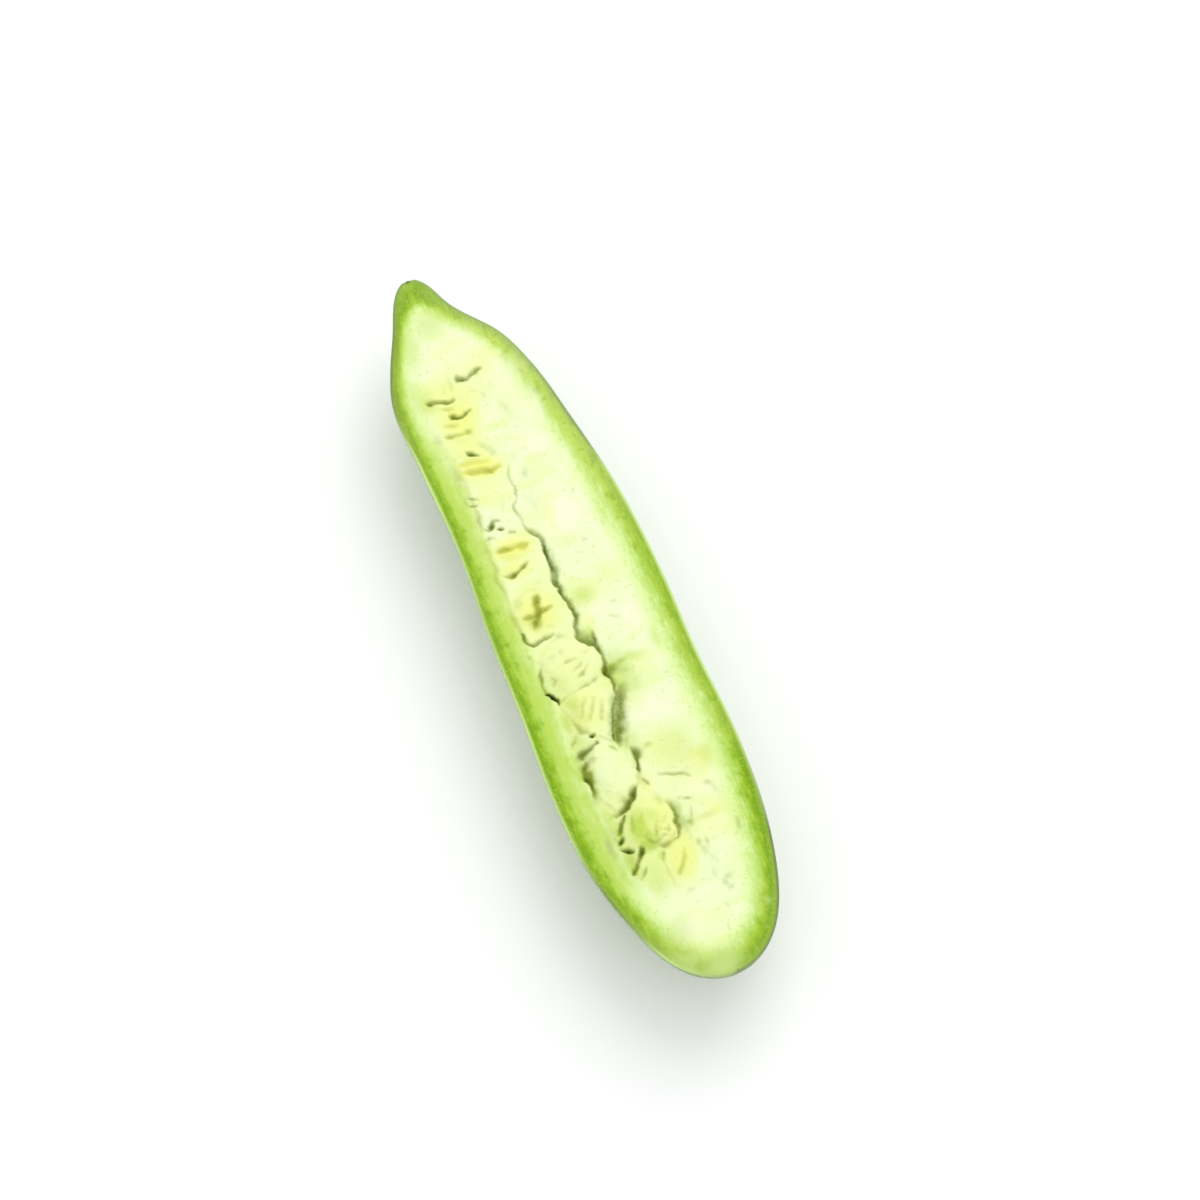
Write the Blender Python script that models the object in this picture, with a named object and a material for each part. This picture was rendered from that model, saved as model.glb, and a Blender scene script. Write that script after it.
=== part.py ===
"""Half of a snake gourd, cut lengthwise, lying on its rounded back with the cut face up.

The fruit grew as one piece, so it is one solid: rind, flesh, spongy core and seeds together. The
stalk end points to -X, the blossom end to +X. The origin is in the middle of the fruit, on the table.
Units are metres; the lists of places on the cut face are in millimetres, and what is built from
them is moved over so that the fruit's width has its middle on the origin.
"""
import math

import bmesh
import bpy
from mathutils import Matrix

MM = 0.001
LENGTH = 242 * MM            # stalk end to blossom end
FACE_Z = 28 * MM             # height of the cut face over the table
AROUND = 64                  # sides of the whole fruit's round section
RINGS = 60                   # rings from end to end
SWELLING_SIDES = 20
SWELLING_RINGS = 10
BENDS = 3                    # straight pieces between two points of a split
SPLIT_SIDES = 1              # a bevel resolution of 1 gives a split six sides
SPLIT_LIFT = 0.4 * MM        # a split is widest this far over the cut face
MERGE = 0.001 * MM           # points closer than this are one
SKIN_COLOUR = (0.36, 0.50, 0.27, 1.0)
FLESH_COLOUR = (0.84, 0.92, 0.55, 1.0)

# Stations along the fruit: place, drift of the middle to the side, fullness sideways and downwards
DRIFT, SIDE, BACK = 1, 2, 3
STATIONS = (
    (-121, -6.7, 21.9, 21.0),
    (-109, -6.9, 21.0, 20.0),
    (-95, -4.7, 28.2, 27.5),
    (-82, -4.1, 30.2, 30.6),
    (-60, -1.5, 28.0, 30.3),
    (-30, 1.3, 27.2, 29.1),
    (0, 1.2, 27.9, 28.45),
    (25, 0.9, 28.6, 29.1),
    (50, 0.9, 31.8, 31.0),
    (75, 0.8, 35.5, 33.9),
    (100, 1.4, 39.0, 37.8),
    (121, 1.4, 45.2, 45.2),
)

# Swellings of the core that stand proud of the cut: middle along and across, half-length,
# half-width, rise over the cut face, turn in degrees
SWELLINGS = (
    (14.8, -7.8, 9.5, 9.2, 0.9, 8),
    (31.5, -8.6, 10.0, 7.6, 0.8, -12),
    (52.0, -7.8, 11.0, 6.9, 1.3, -4),
    (70.5, -4.6, 8.0, 8.2, 1.2, 20),
    (83.0, -8.8, 7.0, 5.0, 0.4, -30),
)

# Cut seeds and seed pockets, listed like the swellings
SEEDS = (
    (-84.6, -1.0, 2.6, 5.0, 0.35, 12),
    (-78.2, -12.2, 2.6, 5.0, 0.35, -14),
    (-72.6, -8.6, 2.9, 5.2, 0.45, 6),
    (-66.8, -10.4, 2.8, 5.6, 0.40, -8),
    (-60.4, -10.0, 2.6, 4.8, 0.35, -16),
    (-54.4, -9.0, 3.0, 6.2, 0.50, -9),
    (-35.0, -11.4, 3.4, 4.8, 0.30, 20),
    (-25.6, -9.6, 3.8, 6.4, 0.50, -5),
    (-18.6, -10.8, 3.0, 5.4, 0.35, 18),
    (-3.6, -10.6, 6.9, 6.2, 0.60, 0),
    (84.0, -0.4, 6.0, 2.8, 0.45, -28),
)

# Splits: how many times deeper than its half-width, then points with along, across, half-width
SPLITS = (
    # The long split between the core and the flesh beside it
    (4.0, ((-50, -1.0, 0.25), (-43, -2.2, 0.30), (-37, -4.2, 0.30), (-31, -3.3, 0.40),
           (-27, -1.2, 0.50), (-22, -1.0, 0.75), (-15, -1.5, 0.75), (-10.5, -2.2, 0.80),
           (-5, -1.2, 0.65), (1, -0.6, 0.65), (7, -2.4, 0.85), (10.5, -0.5, 0.90),
           (13, 2.0, 0.80), (17, 2.1, 0.60), (21.5, 0.9, 0.80), (24.5, 2.0, 0.70),
           (28.5, 1.2, 0.80), (33, -1.6, 1.00), (38, -3.2, 1.00), (41.5, -4.3, 0.90),
           (44, -2.8, 0.30))),
    (1.4, ((27, 3.4, 0.80), (31, 1.4, 1.60), (36, -0.6, 1.80), (40, -1.9, 1.90), (43, -2.0, 1.00))),
    (3.5, ((46.3, -1.0, 0.30), (49, -0.3, 0.85), (52, -1.2, 0.70), (54.2, -1.6, 0.30))),
    # Slits of the cut seeds towards the stalk end
    (2.0, ((-85.4, 2.8, 0.40), (-84.2, -0.4, 0.70), (-83.4, -3.0, 0.70), (-84.4, -5.2, 0.45))),
    (2.0, ((-77.4, -8.2, 0.55), (-78.4, -11.8, 0.60), (-80.1, -16.0, 0.60))),
    (2.0, ((-73.0, -5.0, 0.40), (-71.8, -8.2, 0.60), (-72.9, -12.0, 0.60))),
    (1.2, ((-65.9, -6.2, 0.45), (-66.3, -10.0, 0.50), (-67.9, -15.2, 0.40))),
    (2.0, ((-58.2, -8.0, 0.40), (-59.0, -9.8, 0.75), (-60.0, -11.0, 0.50))),
    (1.0, ((-52.4, -4.4, 0.50), (-52.3, -8.0, 0.60), (-53.8, -13.6, 0.45))),
    (1.5, ((-44.3, -14.4, 0.30), (-45.4, -16.6, 0.35))),
    (1.5, ((-42.8, -14.8, 0.35), (-43.8, -16.8, 0.40))),
    (2.2, ((-36.4, -10.2, 0.30), (-35.8, -12.6, 0.70), (-34.4, -13.9, 0.80))),
    (2.2, ((-33.4, -10.2, 0.50), (-32.6, -11.6, 0.60))),
    (1.0, ((-25.0, -4.8, 0.70), (-25.8, -9.6, 0.80), (-26.3, -14.2, 0.70))),
    (2.0, ((-20.3, -6.8, 0.50), (-18.9, -9.8, 0.55), (-17.5, -12.6, 0.65), (-17.9, -14.6, 0.35))),
    # The star in the large seed pocket, and the split under it
    (1.0, ((-8.0, -9.2, 0.80), (-4.0, -9.8, 0.90), (0.4, -12.0, 0.80))),
    (1.0, ((-4.4, -6.4, 0.55), (-3.0, -10.4, 0.80), (-3.6, -15.0, 0.50))),
    (2.5, ((4.3, -9.0, 0.40), (5.2, -12.8, 0.60), (5.0, -15.8, 0.65), (3.0, -17.1, 0.55),
           (0.8, -17.0, 0.35))),
    # Folds and small splits along the lower side of the core
    (2.0, ((14.3, -16.2, 0.40), (16.8, -17.4, 0.50), (21.0, -17.2, 0.40))),
    (4.0, ((21.4, -17.4, 0.50), (22.4, -16.2, 0.70), (25.4, -14.8, 0.50))),
    (1.3, ((22.2, -2.6, 0.35), (23.2, -7.0, 0.45), (24.6, -13.2, 0.35))),
    (2.4, ((38.3, -9.0, 0.40), (38.3, -10.6, 0.80))),
    (2.0, ((40.8, -9.8, 0.50), (41.8, -13.2, 1.20), (43.2, -16.0, 1.10))),
    (2.0, ((46.0, -15.8, 0.80), (50.6, -16.0, 1.25), (54.8, -15.8, 0.50))),
    # Splits round the last two swellings
    (3.0, ((58.6, -4.6, 0.60), (61.0, -7.2, 0.85), (63.4, -10.8, 0.70))),
    (3.0, ((64.8, -10.2, 0.40), (67.0, -12.6, 0.60), (69.6, -14.4, 0.45))),
    (3.0, ((71.2, -14.0, 0.60), (72.0, -15.0, 0.80))),
    (3.0, ((75.4, -12.4, 0.90), (74.9, -13.6, 0.90))),
    (2.6, ((76.2, -9.6, 0.60), (78.6, -11.2, 0.70), (82.4, -15.0, 0.45))),
    (1.8, ((81.4, -10.6, 0.35), (84.6, -13.4, 0.35))),
    (1.6, ((65.5, 3.0, 0.40), (70.0, 3.4, 0.80), (73.6, 3.2, 0.80), (76.6, 1.8, 0.40))),
    (1.0, ((80.4, 2.0, 0.60), (84.0, -0.2, 0.80), (87.4, -2.8, 0.60))),
    (1.2, ((60.2, 11.6, 0.40), (58.4, 8.0, 0.45), (56.2, 3.2, 0.30))),
)


def clear_scene():
    for thing in list(bpy.data.objects):
        bpy.data.objects.remove(thing, do_unlink=True)


def collection(name):
    group = bpy.data.collections.new(name)
    bpy.context.scene.collection.children.link(group)
    return group


def material(name, colour, roughness):
    made = bpy.data.materials.new(name)
    made.use_nodes = True
    shader = made.node_tree.nodes["Principled BSDF"]
    shader.inputs["Base Color"].default_value = colour
    shader.inputs["Roughness"].default_value = roughness
    shader.inputs["Metallic"].default_value = 0.0
    made.diffuse_color = colour
    return made


def along(column, x):
    """One column of the stations at x, on a smooth curve through them."""
    places = [row[0] * MM for row in STATIONS]
    values = [row[column] * MM for row in STATIONS]
    last = len(places) - 1
    x = min(max(x, places[0]), places[last])
    i = max(k for k in range(last) if places[k] <= x)

    def slope(k):
        low, high = max(k - 1, 0), min(k + 1, last)
        return (values[high] - values[low]) / (places[high] - places[low])

    span = places[i + 1] - places[i]
    t = (x - places[i]) / span
    start = (1 + 2 * t) * (1 - t) ** 2 * values[i] + t * (1 - t) ** 2 * span * slope(i)
    end = t * t * (3 - 2 * t) * values[i + 1] - t * t * (1 - t) * span * slope(i + 1)
    return start + end


def off_middle():
    """How far the outline's widest places lie to one side of the line that all is drawn from."""
    places = [LENGTH / 2 * math.cos(math.pi * ring / RINGS) for ring in range(RINGS + 1)]
    widths = [along(SIDE, x) * math.sqrt(max(0, 1 - (2 * x / LENGTH) ** 2)) for x in places]
    lowest = min(along(DRIFT, x) - width for x, width in zip(places, widths))
    highest = max(along(DRIFT, x) + width for x, width in zip(places, widths))
    return (lowest + highest) / 2


def cut_flat(bm, height, keep_below, slot):
    """Cut the mesh at a height and close the cut with one face of the given material slot."""
    geometry = bm.verts[:] + bm.edges[:] + bm.faces[:]
    cut = bmesh.ops.bisect_plane(bm, geom=geometry, dist=MERGE, plane_co=(0, 0, height),
                                 plane_no=(0, 0, 1), clear_outer=keep_below,
                                 clear_inner=not keep_below)
    rim = [part for part in cut["geom_cut"] if isinstance(part, bmesh.types.BMEdge)]
    for face in bmesh.ops.contextual_create(bm, geom=rim, mat_nr=slot)["faces"]:
        face.smooth = False


def fruit_half(skin, flesh, aside):
    """The half fruit: a ball drawn out to the fruit's form, cut through, and flattened to rest."""
    mesh = bpy.data.meshes.new("snake_gourd_half")
    mesh.materials.append(skin)
    mesh.materials.append(flesh)
    bm = bmesh.new()
    bmesh.ops.create_uvsphere(bm, u_segments=AROUND, v_segments=RINGS, radius=1.0,
                              matrix=Matrix.Rotation(math.radians(90), 4, "Y"))
    for face in bm.faces:
        face.smooth = True
    for vert in bm.verts:
        ball = vert.co.copy()
        x = LENGTH / 2 * ball.x
        vert.co = (x, along(DRIFT, x) + along(SIDE, x) * ball.y - aside,
                   FACE_Z + along(BACK, x) * ball.z)
    cut_flat(bm, FACE_Z, keep_below=True, slot=1)
    cut_flat(bm, 0.0, keep_below=False, slot=0)
    bmesh.ops.recalc_face_normals(bm, faces=bm.faces)
    bm.to_mesh(mesh)
    bm.free()
    return bpy.data.objects.new("snake_gourd_half", mesh)


def swelling(name, flesh, shape, aside):
    """A flattened ball sunk into the cut face by as much as it stands out of it."""
    x, y, half_length, half_width, rise, turn = shape
    mesh = bpy.data.meshes.new(name)
    mesh.materials.append(flesh)
    bm = bmesh.new()
    size = Matrix.Diagonal((half_length * MM, half_width * MM, 2 * rise * MM, 1))
    place = Matrix.Translation((x * MM, y * MM - aside, FACE_Z - rise * MM))
    bmesh.ops.create_uvsphere(bm, u_segments=SWELLING_SIDES, v_segments=SWELLING_RINGS, radius=1.0,
                              matrix=place @ Matrix.Rotation(math.radians(turn), 4, "Z") @ size)
    for face in bm.faces:
        face.smooth = True
    bm.to_mesh(mesh)
    bm.free()
    return bpy.data.objects.new(name, mesh)


def split(name, flesh, depth_ratio, points, aside, group):
    """A tube along the split, made a mesh and stretched downwards, that cuts it out."""
    curve = bpy.data.curves.new(name, "CURVE")
    curve.dimensions = "3D"
    curve.twist_mode = "Z_UP"
    curve.bevel_depth = MM
    curve.bevel_resolution = SPLIT_SIDES
    curve.resolution_u = BENDS
    curve.use_fill_caps = True
    spline = curve.splines.new("BEZIER")
    spline.bezier_points.add(len(points) - 1)
    for knot, (x, y, half_width) in zip(spline.bezier_points, points):
        knot.co = (x * MM, y * MM - aside, 0)
        knot.handle_left_type = "AUTO"
        knot.handle_right_type = "AUTO"
        knot.radius = half_width
    route = bpy.data.objects.new(name + "_route", curve)
    group.objects.link(route)
    bpy.context.view_layer.update()
    graph = bpy.context.evaluated_depsgraph_get()
    mesh = bpy.data.meshes.new_from_object(route.evaluated_get(graph))
    bpy.data.objects.remove(route, do_unlink=True)
    bm = bmesh.new()
    bm.from_mesh(mesh)
    bmesh.ops.remove_doubles(bm, verts=bm.verts, dist=MERGE)
    bmesh.ops.scale(bm, vec=(1, 1, depth_ratio), verts=bm.verts)
    bmesh.ops.translate(bm, vec=(0, 0, FACE_Z + SPLIT_LIFT), verts=bm.verts)
    bmesh.ops.recalc_face_normals(bm, faces=bm.faces)
    bm.to_mesh(mesh)
    bm.free()
    mesh.materials.clear()
    mesh.materials.append(flesh)
    cutter = bpy.data.objects.new(name, mesh)
    cutter.hide_render = True
    cutter.display_type = "WIRE"
    group.objects.link(cutter)


def boolean(body, group, operation):
    modifier = body.modifiers.new(group.name, "BOOLEAN")
    modifier.operation = operation
    modifier.operand_type = "COLLECTION"
    modifier.collection = group
    modifier.solver = "EXACT"
    modifier.material_mode = "TRANSFER"
    return modifier


def fuse(body, group):
    """Join a collection's objects to the body for good, then remove them."""
    modifier = boolean(body, group, "UNION")
    bpy.context.view_layer.update()
    graph = bpy.context.evaluated_depsgraph_get()
    joined = bpy.data.meshes.new_from_object(body.evaluated_get(graph))
    body.modifiers.remove(modifier)
    body.data = joined
    for thing in list(group.objects):
        bpy.data.objects.remove(thing, do_unlink=True)
    bpy.data.collections.remove(group)


def build():
    clear_scene()
    gourd = collection("snake_gourd")
    grown = collection("swellings")
    cutters = collection("cutters")
    skin = material("speckled_skin", SKIN_COLOUR, 0.45)
    flesh = material("pale_flesh", FLESH_COLOUR, 0.35)
    aside = off_middle()
    body = fruit_half(skin, flesh, aside)
    gourd.objects.link(body)
    for number, shape in enumerate(SWELLINGS + SEEDS, start=1):
        grown.objects.link(swelling(f"swelling_{number:02d}", flesh, shape, aside))
    fuse(body, grown)
    for number, (depth_ratio, points) in enumerate(SPLITS, start=1):
        split(f"split_{number:02d}", flesh, depth_ratio, points, aside, cutters)
    boolean(body, cutters, "DIFFERENCE")


build()
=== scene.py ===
"""Half of a short snake gourd, lying with its cut face up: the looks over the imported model.

The cut flesh and the thin speckled skin round its back stand for the plain solid. They are drawn in
millimetres, as the places on the cut face are listed, and are made metres when each mesh is finished.
"""
import math

import bpy
import numpy as np
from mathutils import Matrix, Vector, noise
from mathutils.kdtree import KDTree


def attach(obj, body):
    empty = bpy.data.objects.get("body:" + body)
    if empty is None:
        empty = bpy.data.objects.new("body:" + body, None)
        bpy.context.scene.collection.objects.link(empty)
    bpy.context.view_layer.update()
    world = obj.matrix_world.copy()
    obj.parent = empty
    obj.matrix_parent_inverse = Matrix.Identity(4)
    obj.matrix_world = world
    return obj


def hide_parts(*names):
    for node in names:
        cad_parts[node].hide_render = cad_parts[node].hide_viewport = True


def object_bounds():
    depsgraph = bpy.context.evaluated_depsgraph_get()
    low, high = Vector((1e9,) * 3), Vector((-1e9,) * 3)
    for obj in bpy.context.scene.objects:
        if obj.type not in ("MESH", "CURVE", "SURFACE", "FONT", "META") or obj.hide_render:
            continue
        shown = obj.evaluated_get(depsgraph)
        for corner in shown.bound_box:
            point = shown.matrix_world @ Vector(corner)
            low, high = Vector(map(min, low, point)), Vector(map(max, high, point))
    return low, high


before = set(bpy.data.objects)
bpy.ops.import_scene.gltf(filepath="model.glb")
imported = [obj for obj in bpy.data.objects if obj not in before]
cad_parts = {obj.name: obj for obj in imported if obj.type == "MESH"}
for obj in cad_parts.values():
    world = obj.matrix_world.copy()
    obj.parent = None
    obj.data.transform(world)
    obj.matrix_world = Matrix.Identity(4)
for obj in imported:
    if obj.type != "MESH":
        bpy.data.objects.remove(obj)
cad_low, cad_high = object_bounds()

# The cut flesh: its form
# The flesh of the half fruit, from the green rind to the spongy core with its seeds, grown in one.
# A knife went through it lengthwise; the ball it is drawn out from has its poles at the two ends,
# most of its meridians lie across the cut face and the rest run round under the skin.
MM = 0.001
HALF_LENGTH = 120.9          # from the middle to each end
FACE = 27.97                 # height of the cut face, a hair under the skin's edge
SKIN = 0.55                  # thickness of the skin
DRIFT, SIDE, BACK = 1, 2, 3
STATIONS = (                 # place along, drift sideways, fullness to the sides, fullness of the back;
    # drift and sideways fullness come from a least-squares fit to the outline of the cut face
    (-121, -6.7, 21.9, 21.0),
    (-109, -6.9, 21.0, 20.0),
    (-95, -4.7, 28.2, 27.5),
    (-82, -4.1, 30.2, 30.6),
    (-60, -1.5, 28.0, 30.3),
    (-30, 1.3, 27.2, 29.1),
    (0, 1.2, 27.9, 28.45),
    (25, 0.9, 28.6, 29.1),
    (50, 0.9, 31.8, 31.0),
    (75, 0.8, 35.5, 33.9),
    (100, 1.4, 39.0, 37.8),
    (121, 1.4, 45.2, 45.2),
)
ACROSS = 138                 # columns of faces across the cut
UNDER = 14                   # and round under the skin
RINGS = 630                  # rings from end to end
STEPS = 4001                 # places in a finely divided run


def smooth_run(stations, column, x):
    """One column of some stations at the places x, on a smooth curve through them."""
    places = np.array([row[0] for row in stations], float)
    values = np.array([row[column] for row in stations], float)
    slopes = np.gradient(values)
    slopes[1:-1] = (values[2:] - values[:-2]) / (places[2:] - places[:-2])
    slopes[0] = (values[1] - values[0]) / (places[1] - places[0])
    slopes[-1] = (values[-1] - values[-2]) / (places[-1] - places[-2])
    at = np.clip(np.searchsorted(places, x, side="right") - 1, 0, len(places) - 2)
    span = places[at + 1] - places[at]
    t = (np.clip(x, places[0], places[-1]) - places[at]) / span
    start = (1 + 2 * t) * (1 - t) ** 2 * values[at] + t * (1 - t) ** 2 * span * slopes[at]
    return start + t * t * (3 - 2 * t) * values[at + 1] - t * t * (1 - t) * span * slopes[at + 1]


def fade(low, high, value):
    """0 at low, 1 at high, with a soft start and end between them."""
    t = np.clip((value - low) / (high - low), 0, 1)
    return t * t * (3 - 2 * t)


def girth(x):
    """How much of the full width and depth the fruit has at x."""
    return np.sqrt(np.maximum(1 - (x / HALF_LENGTH) ** 2, 0))


everywhere = np.linspace(-HALF_LENGTH, HALF_LENGTH, STEPS)
side_run = smooth_run(STATIONS, SIDE, everywhere) * girth(everywhere)
drift_run = smooth_run(STATIONS, DRIFT, everywhere)
ASIDE = (np.max(drift_run + side_run) + np.min(drift_run - side_run)) / 2
WIDEST = (np.max(drift_run + side_run) - np.min(drift_run - side_run)) / 2
KEEP_IN = (cad_high.y - cad_low.y) / MM / 2 / WIDEST - 0.001


def middle(x):
    """Where the middle of the fruit is sideways at x."""
    return smooth_run(STATIONS, DRIFT, x)


def half_width(x):
    """From the middle of the fruit to its outer side at x."""
    return smooth_run(STATIONS, SIDE, x) * girth(x) * KEEP_IN


def depth(x):
    """From the cut face to the outside of the back at x."""
    return smooth_run(STATIONS, BACK, x) * girth(x)


def new_ball(name, meridians, rings):
    """A ball with its poles at the two ends of the fruit, from which a piece is drawn out."""
    bpy.ops.object.select_all(action="DESELECT")
    bpy.ops.mesh.primitive_uv_sphere_add(segments=meridians, ring_count=rings, radius=1.0,
                                         rotation=(0, math.radians(90), 0))
    made = bpy.context.object
    made.name = name
    bpy.ops.object.transform_apply(location=False, rotation=True, scale=False)
    return made


def points_of(piece):
    """The places of a piece's points, one row each."""
    places = np.empty(len(piece.data.vertices) * 3)
    piece.data.vertices.foreach_get("co", places)
    return places.reshape(-1, 3)


def move_points(piece, places):
    """Put a piece's points at new places."""
    piece.data.vertices.foreach_set("co", np.ascontiguousarray(places, float).ravel())
    piece.data.update()


def keep_on_points(piece, name, values):
    """Keep a value for each point of a piece, for its material to read."""
    layer = piece.data.attributes.new(name, "FLOAT", "POINT")
    layer.data.foreach_set("value", np.ascontiguousarray(values, np.float32))


cut_flesh = new_ball("cut_flesh", ACROSS + UNDER, RINGS)
ball = points_of(cut_flesh)
ring = np.arccos(np.clip(ball[:, 0], -1, 1)) / math.pi
column = np.rint((np.arctan2(ball[:, 2], ball[:, 1]) % (2 * math.pi)) / (2 * math.pi)
                 * (ACROSS + UNDER)).astype(int) % (ACROSS + UNDER)
on_face = column <= ACROSS

# Rings stand closer at the two ends, and columns closer over the core and at the rim
trial = np.linspace(-1, 1, STEPS)


def crowded(share, crowd):
    """The place from -1 to 1 at each share of the way, where places stand closer as crowd grows."""
    passed = np.cumsum(crowd)
    return np.interp(share, (passed - passed[0]) / (passed[-1] - passed[0]), trial)


station = HALF_LENGTH * crowded(1 - ring, 1 + 0.1 / np.sqrt(1.0004 - abs(trial)))
across = crowded(1 - np.clip(column, 0, ACROSS) / ACROSS,
                 1 + 1.1 * fade(-0.78, -0.70, trial) * fade(0.36, 0.28, trial)
                 + 3 * np.exp((abs(trial) - 1) / 0.03))
turn = math.pi * (1 + (column - ACROSS) / UNDER)

# The flesh ends inside the skin, which it laps by a hair
TUCKED = SKIN - 0.05
lean = np.interp(station, everywhere, np.arctan(np.gradient(half_width(everywhere), everywhere)))
x = station + TUCKED * np.sin(lean)
inner = np.maximum(half_width(station) - TUCKED * np.cos(lean), 0)
y = middle(station) + inner * np.where(on_face, across, np.cos(turn))
z = np.where(on_face, FACE, FACE + np.maximum(depth(station) - TUCKED * np.cos(lean), 0) * np.sin(turn))
z = np.maximum(z, SKIN)
face_x, face_y = x[on_face], y[on_face]


# The cut flesh: what the knife laid open
# The core stands proud of the cut in swellings, shrinks away from the flesh beside it in a long
# split, and holds soft seeds, each cut through to a slit. All of it is raised or sunk in the face, and the
# splits, slits and folds also carry painted shade.
SWELLINGS = (                # middle along and across, half-length, half-width, rise, turn in degrees
    (14.8, -7.8, 9.5, 9.2, 0.9, 8), (31.5, -8.6, 10, 7.6, 0.8, -12), (52, -7.8, 11, 6.9, 1.25, -4),
    (70.3, -4.8, 8.4, 8.6, 1.15, 20), (83, -8.8, 7, 5, 0.4, -30),
)
SEEDS = (                    # cut seeds and seed pockets, listed like the swellings
    (-84.6, -1, 2.6, 5, 0.35, 12), (-78.2, -12.2, 2.6, 5, 0.35, -14), (-72.6, -8.6, 2.9, 5.2, 0.45, 6),
    (-66.8, -10.4, 2.8, 5.6, 0.4, -8), (-60.4, -10, 2.6, 4.8, 0.35, -16), (-54.4, -9, 3, 6.2, 0.5, -9),
    (-35, -11.4, 3.4, 4.8, 0.3, 20), (-25.6, -9.6, 3.8, 6.4, 0.5, -5), (-18.6, -10.8, 3, 5.4, 0.35, 18),
    (-3.6, -10.6, 6.9, 6.2, 0.6), (84, -0.4, 6, 2.8, 0.45, -28),
)
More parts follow.
